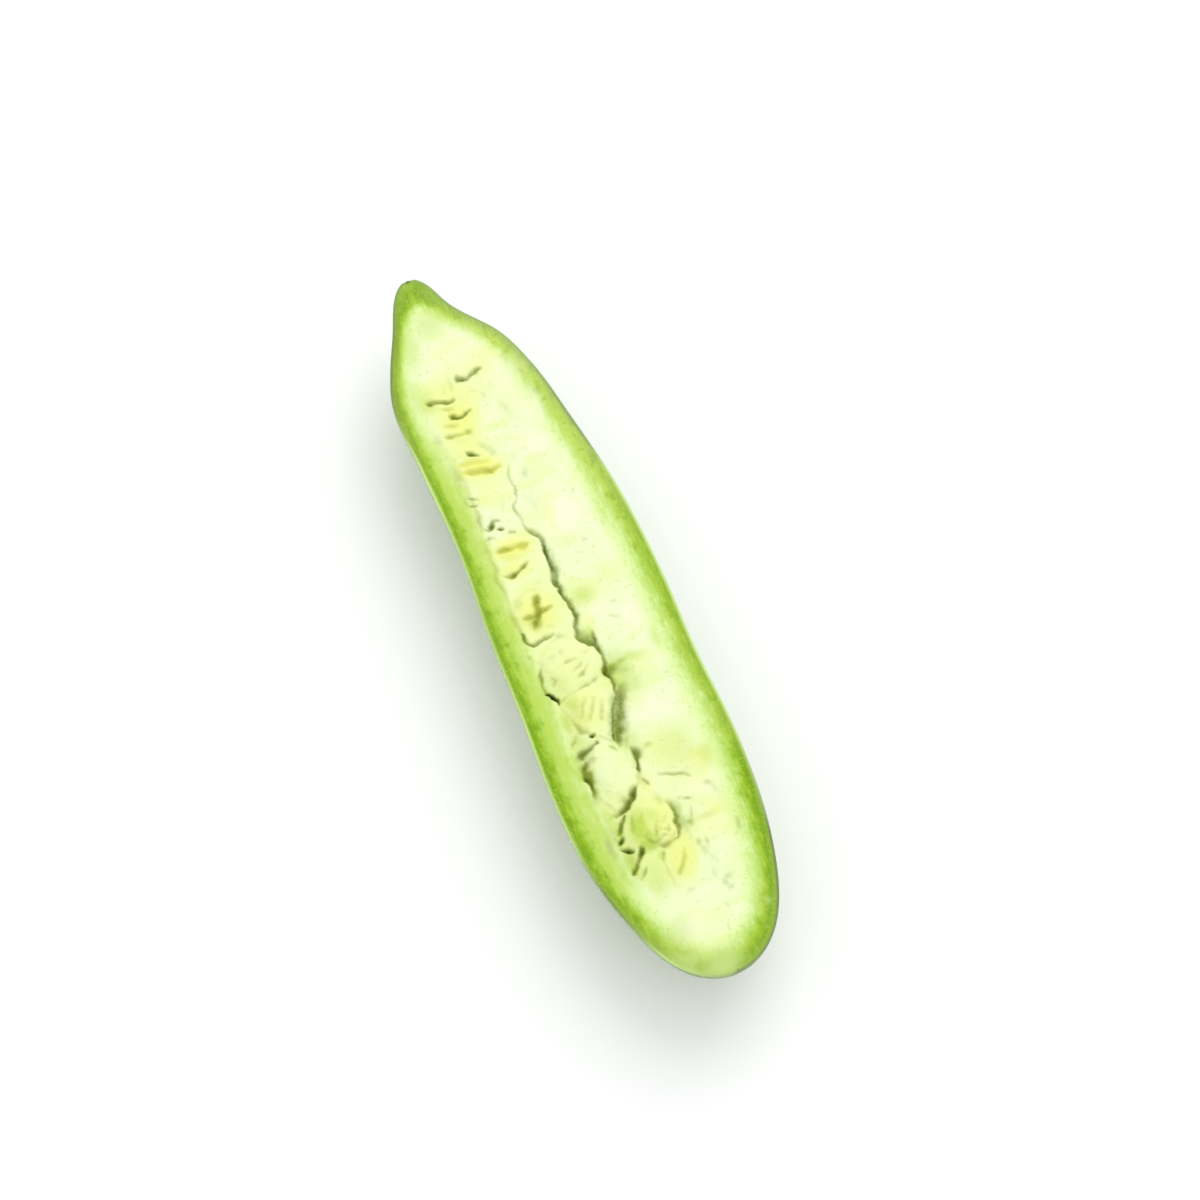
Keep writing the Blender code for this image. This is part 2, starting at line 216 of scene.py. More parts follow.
# Each split, seed slit and fold paints shade into the face's colour along its line, darkest in its middle
SPLITS = (                   # depth over half-width, yellowness, how far the shade spreads on the left
    # and right of the way it runs, then points: along, across, half-width, darkness of the painted shade
    # The long split between the core and the flesh beside it
    (2, 0, 1.2, 1.2, ((-51.5, -0.6, 0.5, 0.05), (-50.4, -1.1, 0.4, 0.16), (-47, -2, 0.4, 0.19),
     (-44, -1.7, 0.4, 0.17), (-42.4, -2.2, 0.42, 0.32), (-40.9, -2.1, 0.4, 0.15), (-39.9, -2.9, 0.35, 0.16),
     (-38.7, -4, 0.4, 0.22), (-37.1, -4.5, 0.4, 0.32), (-34.6, -4, 0.4, 0.18), (-30.9, -3.7, 0.42, 0.2),
     (-29, -2.8, 0.6, 0.36))),
    (3, 0.1, 1.3, 0.9, ((-29, -2.8, 0.6, 0.32), (-27.4, -1.7, 0.65, 0.4), (-26.2, -0.6, 0.5, 0.38),
     (-24.6, -0.6, 0.6, 0.52), (-22.4, -0.8, 0.65, 0.85), (-20.2, -0.9, 0.65, 0.75),
     (-18.4, -1.1, 0.7, 0.6), (-15.9, -1.2, 0.65, 0.72), (-14, -1.1, 0.9, 0.55), (-11.2, -1.8, 0.8, 0.75),
     (-10.2, -2.4, 0.6, 0.75), (-9, -1.5, 0.6, 0.6), (-7.8, -1.8, 0.7, 0.85), (-5.9, -1.4, 0.55, 0.55))),
    (3, 0.3, 1.3, 0.9, ((-5.9, -1.4, 0.55, 0.55), (-3.4, -0.8, 0.6, 0.48), (-0.2, -0.4, 0.65, 0.62),
     (1.6, -0.3, 0.7, 0.62), (3.8, -1.3, 0.7, 0.5), (6.1, -2, 0.6, 0.46), (8.2, -2.2, 0.6, 0.46),
     (9.8, -1.2, 0.75, 0.5), (11.1, 0.2, 0.75, 0.6), (11.8, 1.6, 0.7, 0.6), (13.9, 1.9, 0.6, 0.7),
     (15.6, 2.2, 0.45, 0.38), (18.2, 1.9, 0.5, 0.55), (20.1, 1.4, 0.65, 0.8), (21.5, 0.9, 0.6, 1),
     (22.6, 1.6, 0.55, 0.6), (23.8, 2.2, 0.5, 0.42), (25.4, 2.1, 0.5, 0.58), (27, 1.8, 0.5, 0.5),
     (28.6, 1.5, 0.5, 0.5))),
    (1.6, 0.1, 3, 0.7, ((27.4, 2, 0.35, 0.2), (28.8, 1.4, 0.45, 0.5), (29.8, 0.8, 0.5, 0.68),
     (32.6, -1.2, 0.5, 0.78), (36, -2.7, 0.5, 0.82), (38.9, -3.7, 0.45, 0.86), (41.6, -4.5, 0.4, 0.9),
     (42.6, -4, 0.25, 0.4))),
    (0.5, 0.1, 1.3, 1.3, ((27.8, 3, 1, 0.4), (29.2, 2.4, 1.4, 0.72), (32.2, 1, 1.9, 0.76),
     (36.2, -0.7, 2, 0.74), (39.2, -2, 1.8, 0.82), (42.2, -3.3, 1.2, 0.8), (44.2, -3.6, 0.7, 0.35))),
    (2, 0.1, 1.4, 1.4, ((8, 2.2, 0.35, 0.25), (9.2, 2.3, 0.5, 0.5), (11, 2.2, 0.6, 0.6))),
    (2.6, 0.2, 1.5, 0.9, ((46.4, -0.9, 0.5, 0.25), (47.6, -0.4, 0.8, 0.6), (48.8, -0.1, 1, 0.82),
     (49.8, -0.4, 0.7, 0.9), (51.1, -0.9, 0.4, 0.8), (53.1, -1.4, 0.5, 0.9), (54.2, -1.7, 0.25, 0.3))),
    # Slits of the cut seeds towards the stalk end
    (1.6, 0.1, 1.1, 1.1, ((-85, 3.2, 0.5, 0.3), (-84.7, 2, 0.75, 0.62), (-83.9, 0.3, 0.7, 0.5),
     (-83.1, -1.8, 0.55, 0.62), (-83.4, -3.5, 0.85, 0.6), (-84.2, -4.6, 0.9, 0.45))),
    (1.6, 0.2, 1.1, 1.1, ((-77.8, -8.3, 0.6, 0.35), (-77.5, -9.7, 0.75, 0.72), (-78.2, -11.4, 0.6, 0.6),
     (-78.8, -12.9, 0.6, 0.42), (-79.2, -14.4, 0.7, 0.62), (-79.4, -15.4, 0.95, 0.85),
     (-79.8, -16.2, 0.6, 0.35))),
    (1.6, 0.3, 0.9, 1.2, ((-72.8, -4.9, 0.5, 0.25), (-72.2, -6.1, 0.55, 0.72), (-71.5, -7.6, 0.5, 0.72),
     (-71.4, -9, 0.55, 0.74), (-72.2, -10.7, 0.8, 0.72), (-72.9, -11.5, 0.6, 0.4))),
    (0.6, 0.4, 1.5, 1.5, ((-74.6, -9.4, 0.4, 0.16), (-75.2, -11, 0.5, 0.22), (-75.9, -12.6, 0.4, 0.12))),
    (0.9, 0.5, 1.2, 1.2, ((-66, -7, 0.5, 0.16), (-66.2, -8, 0.95, 0.34), (-66, -9.6, 0.4, 0.28),
     (-66.2, -12, 0.5, 0.3), (-66.7, -13.9, 0.75, 0.44), (-67.3, -15.2, 0.4, 0.16))),
    (0.5, 0.5, 1.5, 1.5, ((-69.3, -10.6, 0.5, 0.14), (-69.8, -12.2, 0.6, 0.22), (-70.5, -14.1, 0.4, 0.12))),
    (1.6, 0.2, 1, 1, ((-57.6, -7.4, 0.25, 0.3), (-58.3, -8.9, 0.5, 0.8), (-59.1, -10.1, 0.8, 0.8),
     (-60, -10.8, 0.5, 0.35))),
    (0.4, 0, 1.4, 1.4, ((-61.2, -6.6, 0.6, 0.12), (-59.5, -4.9, 0.8, 0.17), (-57.2, -3.4, 0.9, 0.15))),
    (1, 1, 1.2, 1.6, ((-52.2, -3.6, 0.5, 0.2), (-51.6, -6, 0.65, 0.5), (-52.4, -8.9, 0.7, 0.42),
     (-53, -12, 0.6, 0.4), (-53.5, -13.9, 0.4, 0.15))),
    (0.5, 0.9, 1.5, 1.5, ((-55.2, -6.2, 0.5, 0.12), (-56, -9.6, 0.7, 0.22), (-56.9, -13.9, 0.6, 0.16))),
    (1.2, 0.1, 1.1, 1.1, ((-44.7, -13.5, 0.25, 0.25), (-45.5, -15, 0.45, 0.5), (-45.9, -15.9, 0.3, 0.25))),
    (1.2, 0.1, 1.1, 1.1, ((-42.6, -14.2, 0.3, 0.3), (-43.1, -15.6, 0.5, 0.6), (-43.6, -16.7, 0.3, 0.25))),
    (0.6, 0.1, 1.4, 1.4, ((-46.2, -16.8, 0.4, 0.15), (-44.8, -17.3, 0.4, 0.22), (-43.6, -16.8, 0.4, 0.15))),
    # Small torn holes beside the yellow seed
    (1.6, 0.1, 1.2, 1.2, ((-35.7, -10.4, 0.5, 0.2), (-36.1, -11.8, 0.6, 0.45), (-35, -12.9, 0.75, 0.85),
     (-34, -13.7, 0.5, 0.55), (-34.6, -15.3, 0.3, 0.2))),
    (1.6, 0.1, 1, 1, ((-32.6, -9.6, 0.3, 0.4), (-32.9, -10.5, 0.6, 0.85), (-33.3, -11.3, 0.4, 0.5))),
    (1, 0.1, 1.2, 1.2, ((-30.2, -7.2, 0.45, 0.3), (-31, -8.4, 0.5, 0.42))),
    (1, 0.1, 1.2, 1.2, ((-30.7, -13.3, 0.3, 0.15), (-31.3, -14.9, 0.5, 0.42))),
    (1, 1, 1.2, 1.2, ((-25.4, -4.6, 0.7, 0.12), (-25.4, -6.6, 1, 0.36), (-25.6, -8.8, 0.7, 0.2),
     (-25.8, -11, 0.8, 0.48), (-26, -13.2, 0.9, 0.55), (-26.3, -14.6, 0.6, 0.12))),
    (1.6, 0.3, 1.1, 1.1, ((-20, -7, 0.4, 0.2), (-19.2, -8.5, 0.7, 0.6), (-18.2, -10.4, 0.5, 0.5),
     (-17.5, -12.1, 0.65, 0.78), (-17.2, -13.3, 0.8, 0.5), (-18.4, -15.6, 0.25, 0.16))),
    # The star in the large seed pocket, and the split round it
    (0.6, 0.6, 1.2, 1.2, ((-8.3, -8.7, 0.7, 0.5), (-7.2, -9.3, 1.15, 0.8), (-5.4, -9.7, 0.9, 0.66),
     (-3.6, -9.9, 1.25, 0.82), (-1.8, -11.2, 1.2, 0.78), (-0.2, -12, 1.1, 0.82), (0.9, -12.3, 0.6, 0.4))),
    (0.6, 0.6, 1.2, 1.2, ((-4.3, -5.9, 0.5, 0.3), (-3.8, -7.6, 0.7, 0.6), (-3, -10.2, 1, 0.7),
     (-2.7, -12.2, 0.8, 0.62), (-3.1, -14, 0.7, 0.62), (-3.3, -15.2, 0.4, 0.2))),
    (2, 0.2, 1, 1.3, ((4.4, -8.8, 0.35, 0.3), (4.8, -10.6, 0.55, 0.5), (5.3, -13, 0.5, 0.62),
     (5.6, -15.2, 0.6, 0.62), (4.6, -16.6, 0.5, 0.62), (3.4, -17.3, 0.5, 0.7), (1.8, -17, 0.45, 0.85),
     (0.7, -17.4, 0.3, 0.3))),
    # Folds and small splits along the lower side of the core
    (2, 0.3, 1.2, 1.2, ((13.8, -16.2, 0.35, 0.25), (15.2, -16.9, 0.5, 0.6), (16.7, -17.3, 0.5, 0.6),
     (18.9, -17.5, 0.4, 0.32), (21.2, -17.6, 0.35, 0.4))),
    (3, 0, 1, 1, ((21.4, -17.6, 0.4, 1.1), (22, -16.6, 0.55, 1.25), (23.5, -15.9, 0.5, 1.2),
     (24.9, -15.1, 0.5, 0.75), (25.8, -15.4, 0.4, 0.25))),
    (2, 0.1, 1, 1, ((38.3, -9.2, 0.4, 0.7), (38.5, -10, 0.65, 1.05), (38.4, -10.9, 0.35, 0.4))),
    (1.6, 0.1, 1.4, 1, ((41, -9.5, 0.5, 0.85), (41.3, -10.6, 0.45, 0.5), (41.8, -12.2, 0.75, 0.56),
     (42.4, -14.2, 1, 0.62), (43, -15.6, 1.1, 0.66), (43.4, -16.6, 0.6, 0.3))),
    (1.8, 0.3, 1.6, 1, ((45.6, -15, 0.7, 0.5), (47, -16.2, 0.9, 0.85), (48.4, -16.5, 0.8, 0.9),
     (49.8, -16.3, 1.1, 1), (51.2, -15.9, 0.95, 1), (52.8, -15.9, 0.7, 0.95), (54.8, -15.8, 0.6, 0.62),
     (56.4, -16.4, 0.5, 0.3))),
    # Splits round the last two swellings
    (2.4, 0.2, 0.9, 1.8, ((58.6, -4.4, 0.5, 0.6), (59.6, -5.1, 0.75, 0.95), (60.9, -6.2, 0.7, 0.85),
     (61.8, -7.6, 0.6, 0.85), (63.1, -9.3, 0.6, 0.8), (63.5, -10.6, 0.6, 0.75), (64.4, -12.6, 0.4, 0.35))),
    (2.4, 0.2, 1, 1.2, ((64.8, -10.5, 0.45, 0.55), (66.6, -11.9, 0.55, 0.72), (68.5, -13.1, 0.7, 0.75),
     (69.9, -14.2, 0.4, 0.35))),
    (2.4, 0.1, 1, 1, ((71, -13.7, 0.5, 0.7), (71.9, -14.5, 0.7, 1.1), (72.6, -15.2, 0.5, 0.7))),
    (2.4, 0.1, 1, 1.1, ((76.1, -12.4, 0.6, 0.8), (75.4, -13.4, 0.9, 1.15), (74.4, -15.4, 0.4, 0.35))),
    (2.2, 0.2, 1.1, 1.1, ((76.2, -9.6, 0.6, 0.7), (77.3, -10.2, 0.75, 1), (78.8, -11.6, 0.55, 0.62),
     (80.4, -12.8, 0.55, 0.56), (81.9, -14.4, 0.65, 0.68), (82.6, -15.2, 0.3, 0.3))),
    (1.4, 0.2, 1.2, 1.2, ((82.2, -10.7, 0.4, 0.25), (83.3, -11.7, 0.55, 0.38), (84.6, -13.2, 0.4, 0.2))),
    (1.6, 0.3, 1.8, 1, ((65.6, 2.8, 0.5, 0.16), (67.9, 3.1, 0.55, 0.6), (69.8, 3.3, 0.5, 0.66),
     (72.2, 2.8, 0.55, 0.84), (74.1, 2.7, 0.5, 0.72), (76.2, 2, 0.4, 0.6), (76.9, 1, 0.4, 0.36),
     (77.3, -0.6, 0.45, 0.28), (77.7, -2.7, 0.6, 0.48), (77.4, -3.8, 0.5, 0.3))),
    (0.8, 0.55, 1.2, 1.2, ((80.6, 2, 0.5, 0.1), (82.4, 1, 0.6, 0.2), (84.6, -0.1, 0.6, 0.26),
     (86.4, -1.6, 0.6, 0.3), (87.4, -2.6, 0.5, 0.26))),
    (0.9, 0.1, 1.2, 1.2, ((60.5, 11.9, 0.4, 0.25), (59, 10, 0.55, 0.4), (57.9, 6.4, 0.45, 0.36),
     (56.5, 3.3, 0.35, 0.22))),
    (1, 0.1, 1.2, 1.2, ((56.7, -1.2, 0.45, 0.45), (57.6, -0.8, 0.5, 0.6), (58.7, -0.4, 0.3, 0.25))),
    # Shallow folds round and on the swellings, and along the lower edge of the core, darkened with painted
    # shade
    (0.9, 0.1, 1.2, 1.2, ((22, -1.6, 0.35, 0.16), (22.4, -2.6, 0.5, 0.34), (22.9, -4.2, 0.35, 0.2),
     (23.3, -5.8, 0.5, 0.4), (23.6, -7.6, 0.4, 0.28), (23.9, -10, 0.35, 0.16), (24.3, -11.9, 0.35, 0.14),
     (25.1, -14, 0.4, 0.3))),
    (0.9, 0.1, 1.3, 1.3, ((17.4, -2.4, 0.3, 0.12), (18.8, -4.4, 0.4, 0.24), (19.7, -5.8, 0.5, 0.34),
     (20.4, -7, 0.3, 0.12))),
    (0.8, 0.1, 1.3, 1.3, ((16.2, -4.2, 0.35, 0.16), (17.2, -5.8, 0.4, 0.24), (18, -8.2, 0.35, 0.12))),
    (0.8, 0.1, 1.3, 1.3, ((14.6, -5.6, 0.3, 0.12), (14.4, -8.4, 0.5, 0.36), (14.9, -9.4, 0.3, 0.14))),
    (0.7, 0.1, 1.3, 1.3, ((13.2, -0.8, 0.3, 0.1), (13.6, -1.8, 0.35, 0.18), (13.2, -3.6, 0.3, 0.1))),
    (0.7, 0.1, 1.4, 1.4, ((7.4, -4.6, 0.6, 0.05), (5.8, -7.2, 0.8, 0.14), (6.8, -9.8, 0.5, 0.07),
     (8.4, -12.4, 0.6, 0.03), (11.6, -16, 0.6, 0.09))),
    (0.7, 0.1, 1.4, 1.4, ((17.6, -14.2, 0.35, 0.16), (18.8, -13.6, 0.35, 0.26), (19.6, -14.6, 0.35, 0.24))),
    (0.7, 0.2, 1.5, 1.5, ((28.2, -5.4, 0.5, 0.12), (31, -7, 0.5, 0.24), (33.8, -8.8, 0.5, 0.18))),
    (0.7, 0.2, 1.5, 1.5, ((29.8, -3.2, 0.5, 0.12), (32, -4.2, 0.5, 0.24), (34.8, -5.4, 0.5, 0.2))),
    (0.7, 0.2, 1.5, 1.5, ((27, -7.6, 0.5, 0.1), (29.4, -9.4, 0.5, 0.22), (32.6, -10.8, 0.5, 0.18))),
    (0.8, 0.2, 1.3, 1.3, ((37.4, -10.6, 0.35, 0.22), (36.2, -12.4, 0.6, 0.36), (34, -13, 0.5, 0.24),
     (30.6, -14.4, 0.4, 0.12), (26.6, -15.2, 0.4, 0.12))),
    (0.8, 0.1, 1.3, 1.3, ((37.4, -14.9, 0.4, 0.22), (38.8, -16, 0.5, 0.36), (39.9, -17, 0.4, 0.2))),
    (0.8, 0.1, 1.3, 1.3, ((42.4, -5, 0.4, 0.3), (40.8, -6.6, 0.4, 0.14), (39.6, -8.4, 0.4, 0.14))),
    (0.8, 0.1, 1.3, 1.3, ((43.2, -6.8, 0.35, 0.14), (44.2, -5.9, 0.5, 0.36), (45.8, -5.1, 0.35, 0.14))),
    (0.7, 0.1, 1.4, 1.4, ((54.6, -2.2, 0.4, 0.12), (57, -3.2, 0.4, 0.18), (58.6, -4.4, 0.4, 0.3))),
    (0.7, 0.1, 1.4, 1.4, ((56.4, -15.8, 0.4, 0.14), (60, -14, 0.5, 0.12), (63.2, -11.8, 0.4, 0.2))),
    (0.7, 0.3, 1.5, 1.5, ((64.2, -9.6, 0.5, 0.07), (62.6, -5, 0.7, 0.03), (64, 0.2, 0.6, 0.04),
     (65.8, 2.8, 0.5, 0.16))),
    (0.7, 0.1, 1.3, 1.3, ((65.8, -8.6, 0.4, 0.16), (68.4, -9.6, 0.45, 0.26), (71.2, -10.2, 0.4, 0.16))),
    (0.7, 0.1, 1.3, 1.3, ((71.8, -4.2, 0.4, 0.14), (73.2, -4.1, 0.5, 0.3), (75, -4, 0.4, 0.16))),
    (0.7, 0.1, 1.3, 1.3, ((72.6, 0.4, 0.3, 0.14), (73.9, -0.2, 0.4, 0.26), (73.4, -1.6, 0.35, 0.14))),
    (0.7, 0.1, 1.3, 1.3, ((75.2, -0.8, 0.3, 0.12), (75, -2, 0.4, 0.22), (76, -5.4, 0.5, 0.24),
     (74.6, -7.2, 0.5, 0.2))),
    (0.7, 0.4, 1.3, 1.3, ((66.2, -5.6, 0.4, 0.1), (68, -6.8, 0.5, 0.16), (69.4, -7.4, 0.4, 0.1))),
    (0.7, 0.4, 1.3, 1.3, ((70.4, -2.6, 0.4, 0.1), (71.6, -3.2, 0.5, 0.18), (73, -2.8, 0.4, 0.1))),
    (0.7, 0.4, 1.3, 1.3, ((72.4, -6.2, 0.4, 0.12), (73.6, -7.4, 0.5, 0.2), (73, -8.8, 0.4, 0.12))),
    (0.7, 0.3, 1.3, 1.3, ((74.6, 1.4, 0.35, 0.12), (75.6, 0.6, 0.4, 0.2), (76.2, -0.6, 0.35, 0.12))),
    (0.7, 0.3, 1.3, 1.3, ((69, 0.8, 0.35, 0.08), (70.6, -0.2, 0.4, 0.12), (71.4, -1.6, 0.35, 0.08))),
    (0.8, 0.2, 1.3, 1.3, ((79, -4, 0.4, 0.2), (79.9, -4.6, 0.5, 0.36), (82.4, -5.3, 0.4, 0.16),
     (86.6, -5, 0.35, 0.16), (91, -5, 0.3, 0.08))),
    (0.6, 0.1, 1.4, 1.4, ((69.6, 8.5, 0.3, 0.16), (71.2, 8, 0.35, 0.26), (72.8, 7.4, 0.3, 0.2))),
    (0.6, 0.2, 1.5, 1.5, ((-10, -7, 0.4, 0.06), (-11.2, -10.6, 0.5, 0.08), (-9.2, -15.2, 0.5, 0.1))),
    (0.7, 0.2, 1.5, 1.5, ((-60, -15.4, 0.4, 0.06), (-50, -15.2, 0.5, 0.1), (-41, -15.4, 0.5, 0.22),
     (-37.8, -15.5, 0.6, 0.36), (-34, -16.2, 0.4, 0.12))),
    (0.7, 0.3, 1.5, 1.5, ((-31, -16.6, 0.4, 0.1), (-27, -17.2, 0.6, 0.2), (-22, -16.6, 0.5, 0.12),
     (-18.4, -18, 0.6, 0.3), (-13, -17.2, 0.5, 0.18), (-9, -17.8, 0.5, 0.12), (-3.6, -17.8, 0.7, 0.26),
     (0.8, -17.6, 0.4, 0.2))),
)


def wobble(px, py, size, seed):
    """Smooth noise from about -1 to 1 at each place, in patches of about the given size."""
    return np.array([noise.noise(Vector((a / size, b / size, seed))) for a, b in zip(px, py)])


def oval(px, py, shape):
    """How far out each place is in an oval, turned or not: 0 in its middle, 1 on its edge."""
    slant = math.radians(shape[5] if len(shape) > 5 else 0)
    right, up = px - shape[0], py - shape[1]
    length = (right * math.cos(slant) + up * math.sin(slant)) / shape[2]
    width = (up * math.cos(slant) - right * math.sin(slant)) / shape[3]
    return np.hypot(length, width)


def bent(points, pieces=5):
    """More points on a smooth curve through the given ones."""
    rows = np.array(points, float)
    rows = np.vstack([2 * rows[0] - rows[1], rows, 2 * rows[-1] - rows[-2]])
    run = []
    for a, b, c, d in zip(rows, rows[1:], rows[2:], rows[3:]):
        for t in np.arange(pieces) / pieces:
            run.append(0.5 * (2 * b + (c - a) * t + (2 * a - 5 * b + 4 * c - d) * t * t
                              + (3 * b - a - 3 * c + d) * t ** 3))
    run.append(rows[-2])
    return np.array(run)


def off_line(px, py, points):
    """How many half-widths each place is from a line, on its left as plus and on its right as minus,
    and the half-width and darkness there."""
    run = bent(points)
    nearest = np.full(len(px), 1e3)
    width_there = np.full(len(px), 1.0)
    darkness_there = np.zeros(len(px))
    for (ax, ay, aw, ad), (bx, by, bw, bd) in zip(run, run[1:]):
        span = (bx - ax) ** 2 + (by - ay) ** 2
        t = np.clip(((px - ax) * (bx - ax) + (py - ay) * (by - ay)) / span, 0, 1)
        width = np.maximum(aw + t * (bw - aw), 0.15)
        away = np.hypot(px - ax - t * (bx - ax), py - ay - t * (by - ay)) / width
        side = np.where((bx - ax) * (py - ay) - (by - ay) * (px - ax) < 0, -1.0, 1.0)
        closer = away < abs(nearest)
        nearest[closer] = (away * side)[closer]
        width_there[closer] = width[closer]
        darkness_there[closer] = (ad + t * (bd - ad))[closer]
    return nearest, width_there, darkness_there


# Torn edges: every feature is looked up at a place that is nudged a little this way and that
torn_x = (face_x + 0.34 * wobble(face_x, face_y, 2.3, 1.5) + 0.20 * wobble(face_x, face_y, 0.9, 2.5))
torn_y = (face_y + 0.40 * wobble(face_x, face_y, 2.1, 3.5) + 0.22 * wobble(face_x, face_y, 0.8, 4.5))
lumpy_x = torn_x + 1.1 * wobble(face_x, face_y, 6.0, 13.5)
lumpy_y = torn_y + 1.1 * wobble(face_x, face_y, 5.5, 14.5)

swollen = np.zeros(len(face_x))
on_swelling = np.zeros(len(face_x))
for shape in SWELLINGS + SEEDS:
    out = oval(lumpy_x, lumpy_y, shape)
    swollen = np.maximum(swollen, shape[4] * fade(1.08, 0.45, out) * (1 - 0.3 * np.minimum(out, 1) ** 2))
    if shape[4] > 0.6:
        on_swelling = np.maximum(on_swelling, fade(1.0, 0.75, out))

uneven_width = 1.14 + 0.36 * wobble(face_x, face_y, 1.9, 11.5) + 0.12 * wobble(face_x, face_y, 0.9, 15.5)
uneven_dark = 1 + 0.26 * wobble(face_x, face_y, 2.2, 12.5)
DEEPEST = 1.9                # millimetres that a split may sink the face
CLEAR = 0.02                 # what stays free under and over the fruit in the box of the solid
sunk = np.zeros(len(face_x))
split_shade = np.zeros(len(face_x))
golden = np.zeros(len(face_x))
# Each split sinks the face and paints shade along itself; its yellowness is the seed's own yellow beside it
for steepness, yellowness, left, right, points in SPLITS:
    lowest, highest = np.min(points, axis=0), np.max(points, axis=0)
    reach = 2.5 * max(left, right, 1.5) * highest[2]
    near = ((face_x > lowest[0] - reach) & (face_x < highest[0] + reach)
            & (face_y > lowest[1] - reach) & (face_y < highest[1] + reach))
    away, width, darkness = off_line(torn_x[near], torn_y[near], points)
    away = away * uneven_width[near] / np.where(away > 0, left, right)
    shade = darkness * np.exp(-0.9 * away ** 2)
    fall = steepness * width * np.minimum(4 * darkness, 1) * np.exp(-1.1 * away ** 2)
    sunk[near] = np.maximum(sunk[near], fall)
    split_shade[near] = np.maximum(split_shade[near], shade * uneven_dark[near])
    golden[near] = np.maximum(golden[near], yellowness * fade(2.0, 0.4, abs(away)))

# The core between its lower and upper edge, spongy; wrinkled where it is swollen
CORE = (                     # place along, lower edge, upper edge, how yellow it is
    (-90, -9, -2, 0.3), (-85, -17, 4, 0.4), (-76, -17, 0, 0.6), (-66, -16, -4, 0.5), (-58, -15, -4, 0.35),
    (-50, -14.8, -2, 0.35), (-40, -15, -3.4, 0), (-31, -15.6, -3, 0.15), (-24, -16, -1, 0.4),
    (-12, -16.6, -1.6, 0.25), (0, -17.2, -0.8, 0.45), (7, -17.2, -2, 0.4), (14, -16.8, 1.6, 0.5),
    (22, -16.2, 1.2, 0.7), (30, -17, 0, 0.65), (41, -17.6, -3.4, 0.4), (50, -17, -1.4, 0.3),
    (60, -16.4, 0, 0.6), (66, -15.8, 3.2, 0.8), (75, -15, 4.5, 0.9), (84, -14.4, 5, 0.8), (93, -8, 0, 0.3),
)
low_edge = (smooth_run(CORE, 1, face_x) + 0.8 * wobble(face_x, face_y, 5, 5.5)
            + 0.9 * wobble(face_x, face_y, 1.7, 16.5))
high_edge = smooth_run(CORE, 2, face_x)
core = (fade(-0.8, 0.8, face_y - low_edge) * fade(0.8, -0.8, face_y - high_edge)
        * fade(-91, -86, face_x) * fade(94, 88, face_x))
sponge = wobble(face_x, face_y, 1.3, 6.5) + 0.6 * wobble(face_x, face_y, 0.7, 7.5)
slant_x = face_x * 0.85 + face_y * 0.5
slant_y = face_y * 0.85 - face_x * 0.5
wrinkles = 1 - 2 * np.abs(wobble(slant_x, slant_y * 0.35, 1.5, 8.5))
rise = (swollen + 0.10 * wobble(face_x, face_y, 22, 9.5) + core * 0.06 * sponge
        + on_swelling * 0.15 * (wrinkles + wobble(face_x, face_y, 3.5, 10.5)))
off_rim = fade(0.2, 1.5, inner[on_face] * (1 - abs(across[on_face])))
z[on_face] += (rise - np.minimum(sunk, DEEPEST) * (1 + 0.5 * rise)) * off_rim
z = np.minimum(z, cad_high.z / MM - CLEAR)
move_points(cut_flesh, np.stack([x, y - ASIDE, z], axis=1) * MM)
bpy.ops.object.shade_smooth()

# The cut flesh: its colours
# Bright green rind under the skin, fading into cream flesh; the core is a little greener and wetter,
# with yellow round the seeds. Painted shade lies in and beside the splits, and a fine line of painted
# highlight and painted shade runs along the cut edge. Each point keeps how far in it is and how far each
# tint has gone.
RIND = (                     # place along, thickness of rind to +Y and to -Y, crispness of its edge,
    # paleness to +Y and to -Y
    (-121, 2.8, 2.8, 1.3, 0.05, 0), (-114, 2.2, 2, 1.3, 0.2, 0.1), (-110, 1.1, 0.95, 1.5, 0.5, 0.15),
    (-95, 0.88, 0.7, 1.7, 0.95, 0.35), (-80, 1.02, 0.86, 1.5, 1, 0.3), (-60, 1.05, 0.88, 1.3, 1, 0.15),
    (-40, 1.03, 0.92, 1.15, 0.8, 0.05), (-20, 1, 0.95, 1.1, 0.4, 0.1), (0, 1, 1.05, 1, 0.2, 0.1),
    (28, 0.97, 1.1, 1, 0.34, 0), (52, 0.98, 1.1, 1, 0.3, 0), (64, 1.1, 1.1, 1.15, 0, 0),
    (72, 1.16, 1.05, 1.25, 0, 0), (80, 1.15, 1, 1.2, 0, 0.05), (96, 1.16, 1.03, 1.3, 0.1, 0.2),
    (104, 1.22, 1.08, 1.35, 0.15, 0.4), (112, 1.35, 1.2, 1.3, 0.1, 0.8), (121, 1.1, 1.1, 1.2, 0.2, 0.9),
)
EDGE_HIGHLIGHT_AND_SHADE = (                # place along, how far the fine line at the very edge is painted highlight rather than painted shade, to +Y and to -Y
    (-121, 0.3, 0.2), (-108, 0.3, 0.05), (-90, 0.4, 0), (-76, 0.3, 0.3), (-64, 0.2, 0.9), (-50, 0.3, 1),
    (-38, 0.9, 0.8), (0, 0.95, 0.7), (30, 1, 0.9), (50, 0.9, 0.8), (66, 0.6, 0.8), (78, 0.3, 0.4),
    (86, 0, 0.1), (100, 0, 0.3), (110, 0.05, 0.9), (121, 0.1, 0.5),
)
